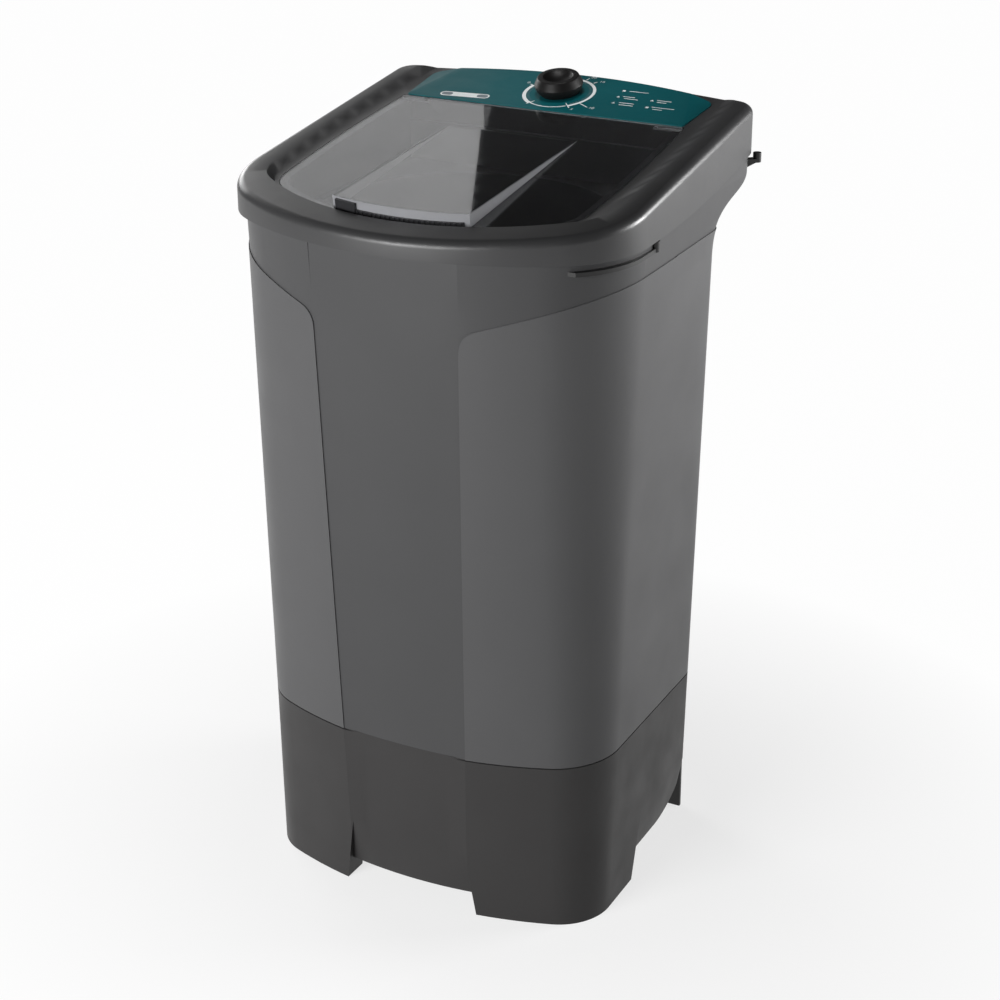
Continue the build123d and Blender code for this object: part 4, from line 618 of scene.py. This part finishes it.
# Bare badge: a white pill with a grey bar at each end, each with its width and height
BADGE_TURN = 4.0
BADGE_MIDDLE, BADGE_SIZE = (-107.0, -34.5), (63.0, 11.5)
BADGE_ENDS, BADGE_END_SIZE = ((-129.5, -36.1), (-84.5, -32.9)), (14.0, 8.0)
badge_pill = stadium(BADGE_MIDDLE, *BADGE_SIZE, BADGE_TURN)
badge_ends = [stadium(centre, *BADGE_END_SIZE, BADGE_TURN) for centre in BADGE_ENDS]
flat_piece("badge_pill", [badge_pill], white_ink)
flat_piece("badge_ends", badge_ends, grey_ink, rise=2 * PRINT_RISE)


# Camera, at the photograph's place

CAMERA_PLACE = (1.1170, -2.0828, 1.4531)
CAMERA_AZIMUTH = math.radians(27.839)
CAMERA_ELEVATION = math.radians(23.304)
CAMERA_ROLL = math.radians(-0.141)
LENS, SENSOR_WIDTH = 78.703, 36.0
CLIP_START, CLIP_END = 0.1, 50.0


def place_camera():
    """Camera that looks along its azimuth and elevation, then turned by its roll."""
    level = math.cos(CAMERA_ELEVATION)
    back = Vector(
        (
            math.sin(CAMERA_AZIMUTH) * level,
            -math.cos(CAMERA_AZIMUTH) * level,
            math.sin(CAMERA_ELEVATION),
        )
    )
    right = Vector((math.cos(CAMERA_AZIMUTH), math.sin(CAMERA_AZIMUTH), 0))
    up = back.cross(right)
    across = right * math.cos(CAMERA_ROLL) + up * math.sin(CAMERA_ROLL)
    above = up * math.cos(CAMERA_ROLL) - right * math.sin(CAMERA_ROLL)
    data = bpy.data.cameras.new("camera")
    data.lens = LENS
    data.sensor_width = SENSOR_WIDTH
    data.clip_start = CLIP_START
    data.clip_end = CLIP_END
    camera = add_object("camera", data)
    turn = Matrix((across, above, back)).transposed().to_4x4()
    camera.matrix_world = Matrix.Translation(CAMERA_PLACE) @ turn
    scene.camera = camera


place_camera()


# Studio

FLOOR_HALF_SIZE = 7.0
FLOOR_SEGMENTS = 24
# Floor's whiteness in the light it throws on, as it is seen, and where dust dulls it most
FLOOR_THROWN, FLOOR_SEEN = 0.28, 0.96
FLOOR_DUST = 0.98
# Share of plain white in the seen floor, near the machine's middle and far from it
NEAR, FAR = 0.30, 0.80
NEAR_WHITE, FAR_WHITE = 0.72, 0.985

# World's strength for light, at the horizon's band and above it, by the direction's height
BAND_LOW, BAND_HIGH = 0.05, 0.35
BAND_STRENGTH, SKY_STRENGTH = 0.19, 0.03
# Through the lid the world turns from white to its own light between these heights
THROUGH_LOW, THROUGH_HIGH = 0.20, 0.32

# Area lights: place, target, width and height in metres, watts, spread and roll in degrees
LIGHTS = {
    "front": ((-0.55, -2.11, 1.05), (0.0, 0.0, 0.50), (1.20, 0.70), 46.0, 180.0, 0.0),
    "right": ((1.18, 0.84, 0.98), (0.2, 0.0, 0.90), (0.60, 0.40), 6.0, 90.0, 0.0),
    "left": ((-1.40, 0.70, 1.20), (-0.1, 0.0, 0.60), (0.70, 0.50), 9.0, 180.0, 0.0),
    "panel": ((0.0, 0.05, 1.60), (0.0, 0.20, 0.88), (0.30, 0.16), 0.22, 50.0, 0.0),
    "lid_card": ((-1.36, 1.50, 1.78), (0.0, 0.0, 0.85), (0.80, 1.10), 2.2, 180.0, -17.3),
}


def floor_material():
    """White floor that keeps the shadow near the machine and fades to plain white to the eye."""
    material = bpy.data.materials.new("floor_white")
    graph = cleared_graph(material)
    rays = graph.add("ShaderNodeLightPath").outputs
    direct = graph.math("MAXIMUM", rays["Is Camera Ray"], rays["Is Transmission Ray"])
    seen = graph.math("MAXIMUM", direct, rays["Is Glossy Ray"])
    dust = graph.remap(graph.noise(1.2, 2.0), 0.0, 1.0, FLOOR_DUST, 1.0)
    whiteness = graph.remap(seen, 0.0, 1.0, FLOOR_THROWN, FLOOR_SEEN)
    diffuse = graph.add("ShaderNodeBsdfDiffuse")
    graph.feed(diffuse, {"Color": graph.math("MULTIPLY", dust, whiteness)})
    glow = graph.add("ShaderNodeEmission")
    graph.feed(glow, {"Color": WHITE, "Strength": 1.0})
    reach = graph.add("ShaderNodeVectorMath", operation="LENGTH")
    graph.feed(reach, {0: graph.place("Object")})
    white = graph.remap(reach.outputs["Value"], NEAR, FAR, NEAR_WHITE, FAR_WHITE)
    share = graph.math("MULTIPLY", seen, white)
    mix = graph.add("ShaderNodeMixShader")
    graph.feed(mix, {0: share, 1: diffuse.outputs[0], 2: glow.outputs[0]})
    out = graph.add("ShaderNodeOutputMaterial")
    graph.link(mix.outputs[0], out.inputs["Surface"])
    return material


def make_floor():
    """Flat floor round the machine, kept out of the part."""
    mesh = bpy.data.meshes.new("floor")
    build = bmesh.new()
    bmesh.ops.create_grid(
        build,
        x_segments=FLOOR_SEGMENTS,
        y_segments=FLOOR_SEGMENTS,
        size=FLOOR_HALF_SIZE,
    )
    build.to_mesh(mesh)
    build.free()
    floor = add_object("floor", mesh)
    mesh.materials.append(floor_material())


def make_world():
    """White to the camera and low down through the lid; its own light is a band at the horizon."""
    world = bpy.data.worlds.new("studio")
    scene.world = world
    graph = cleared_graph(world)
    height = graph.axes("Generated")[2]
    own_light = graph.remap(height, BAND_LOW, BAND_HIGH, BAND_STRENGTH, SKY_STRENGTH)
    low = graph.remap(height, THROUGH_LOW, THROUGH_HIGH, 1.0, 0.0)
    rays = graph.add("ShaderNodeLightPath").outputs
    through = graph.math("MULTIPLY", rays["Is Transmission Ray"], low)
    seen = graph.math("MAXIMUM", rays["Is Camera Ray"], through)
    unseen = graph.math("MULTIPLY", own_light, graph.math("SUBTRACT", 1.0, seen))
    background = graph.add("ShaderNodeBackground")
    graph.feed(background, {"Color": WHITE, "Strength": graph.math("ADD", unseen, seen)})
    out = graph.add("ShaderNodeOutputWorld")
    graph.link(background.outputs[0], out.inputs["Surface"])


def area_light(name, place, target, size, power, spread, roll):
    """Rectangular light aimed at a target, then rolled round its own axis."""
    data = bpy.data.lights.new(name, "AREA")
    data.shape = "RECTANGLE"
    data.size, data.size_y = size
    data.energy = power
    data.spread = math.radians(spread)
    light = add_object(name, data)
    light.location = place
    light.rotation_mode = "QUATERNION"
    aim = (Vector(target) - Vector(place)).to_track_quat("-Z", "Y")
    light.rotation_quaternion = aim @ Quaternion((0.0, 0.0, 1.0), math.radians(roll))


make_floor()
make_world()
for name, setting in LIGHTS.items():
    area_light(name, *setting)

scene.view_settings.view_transform = "Standard"
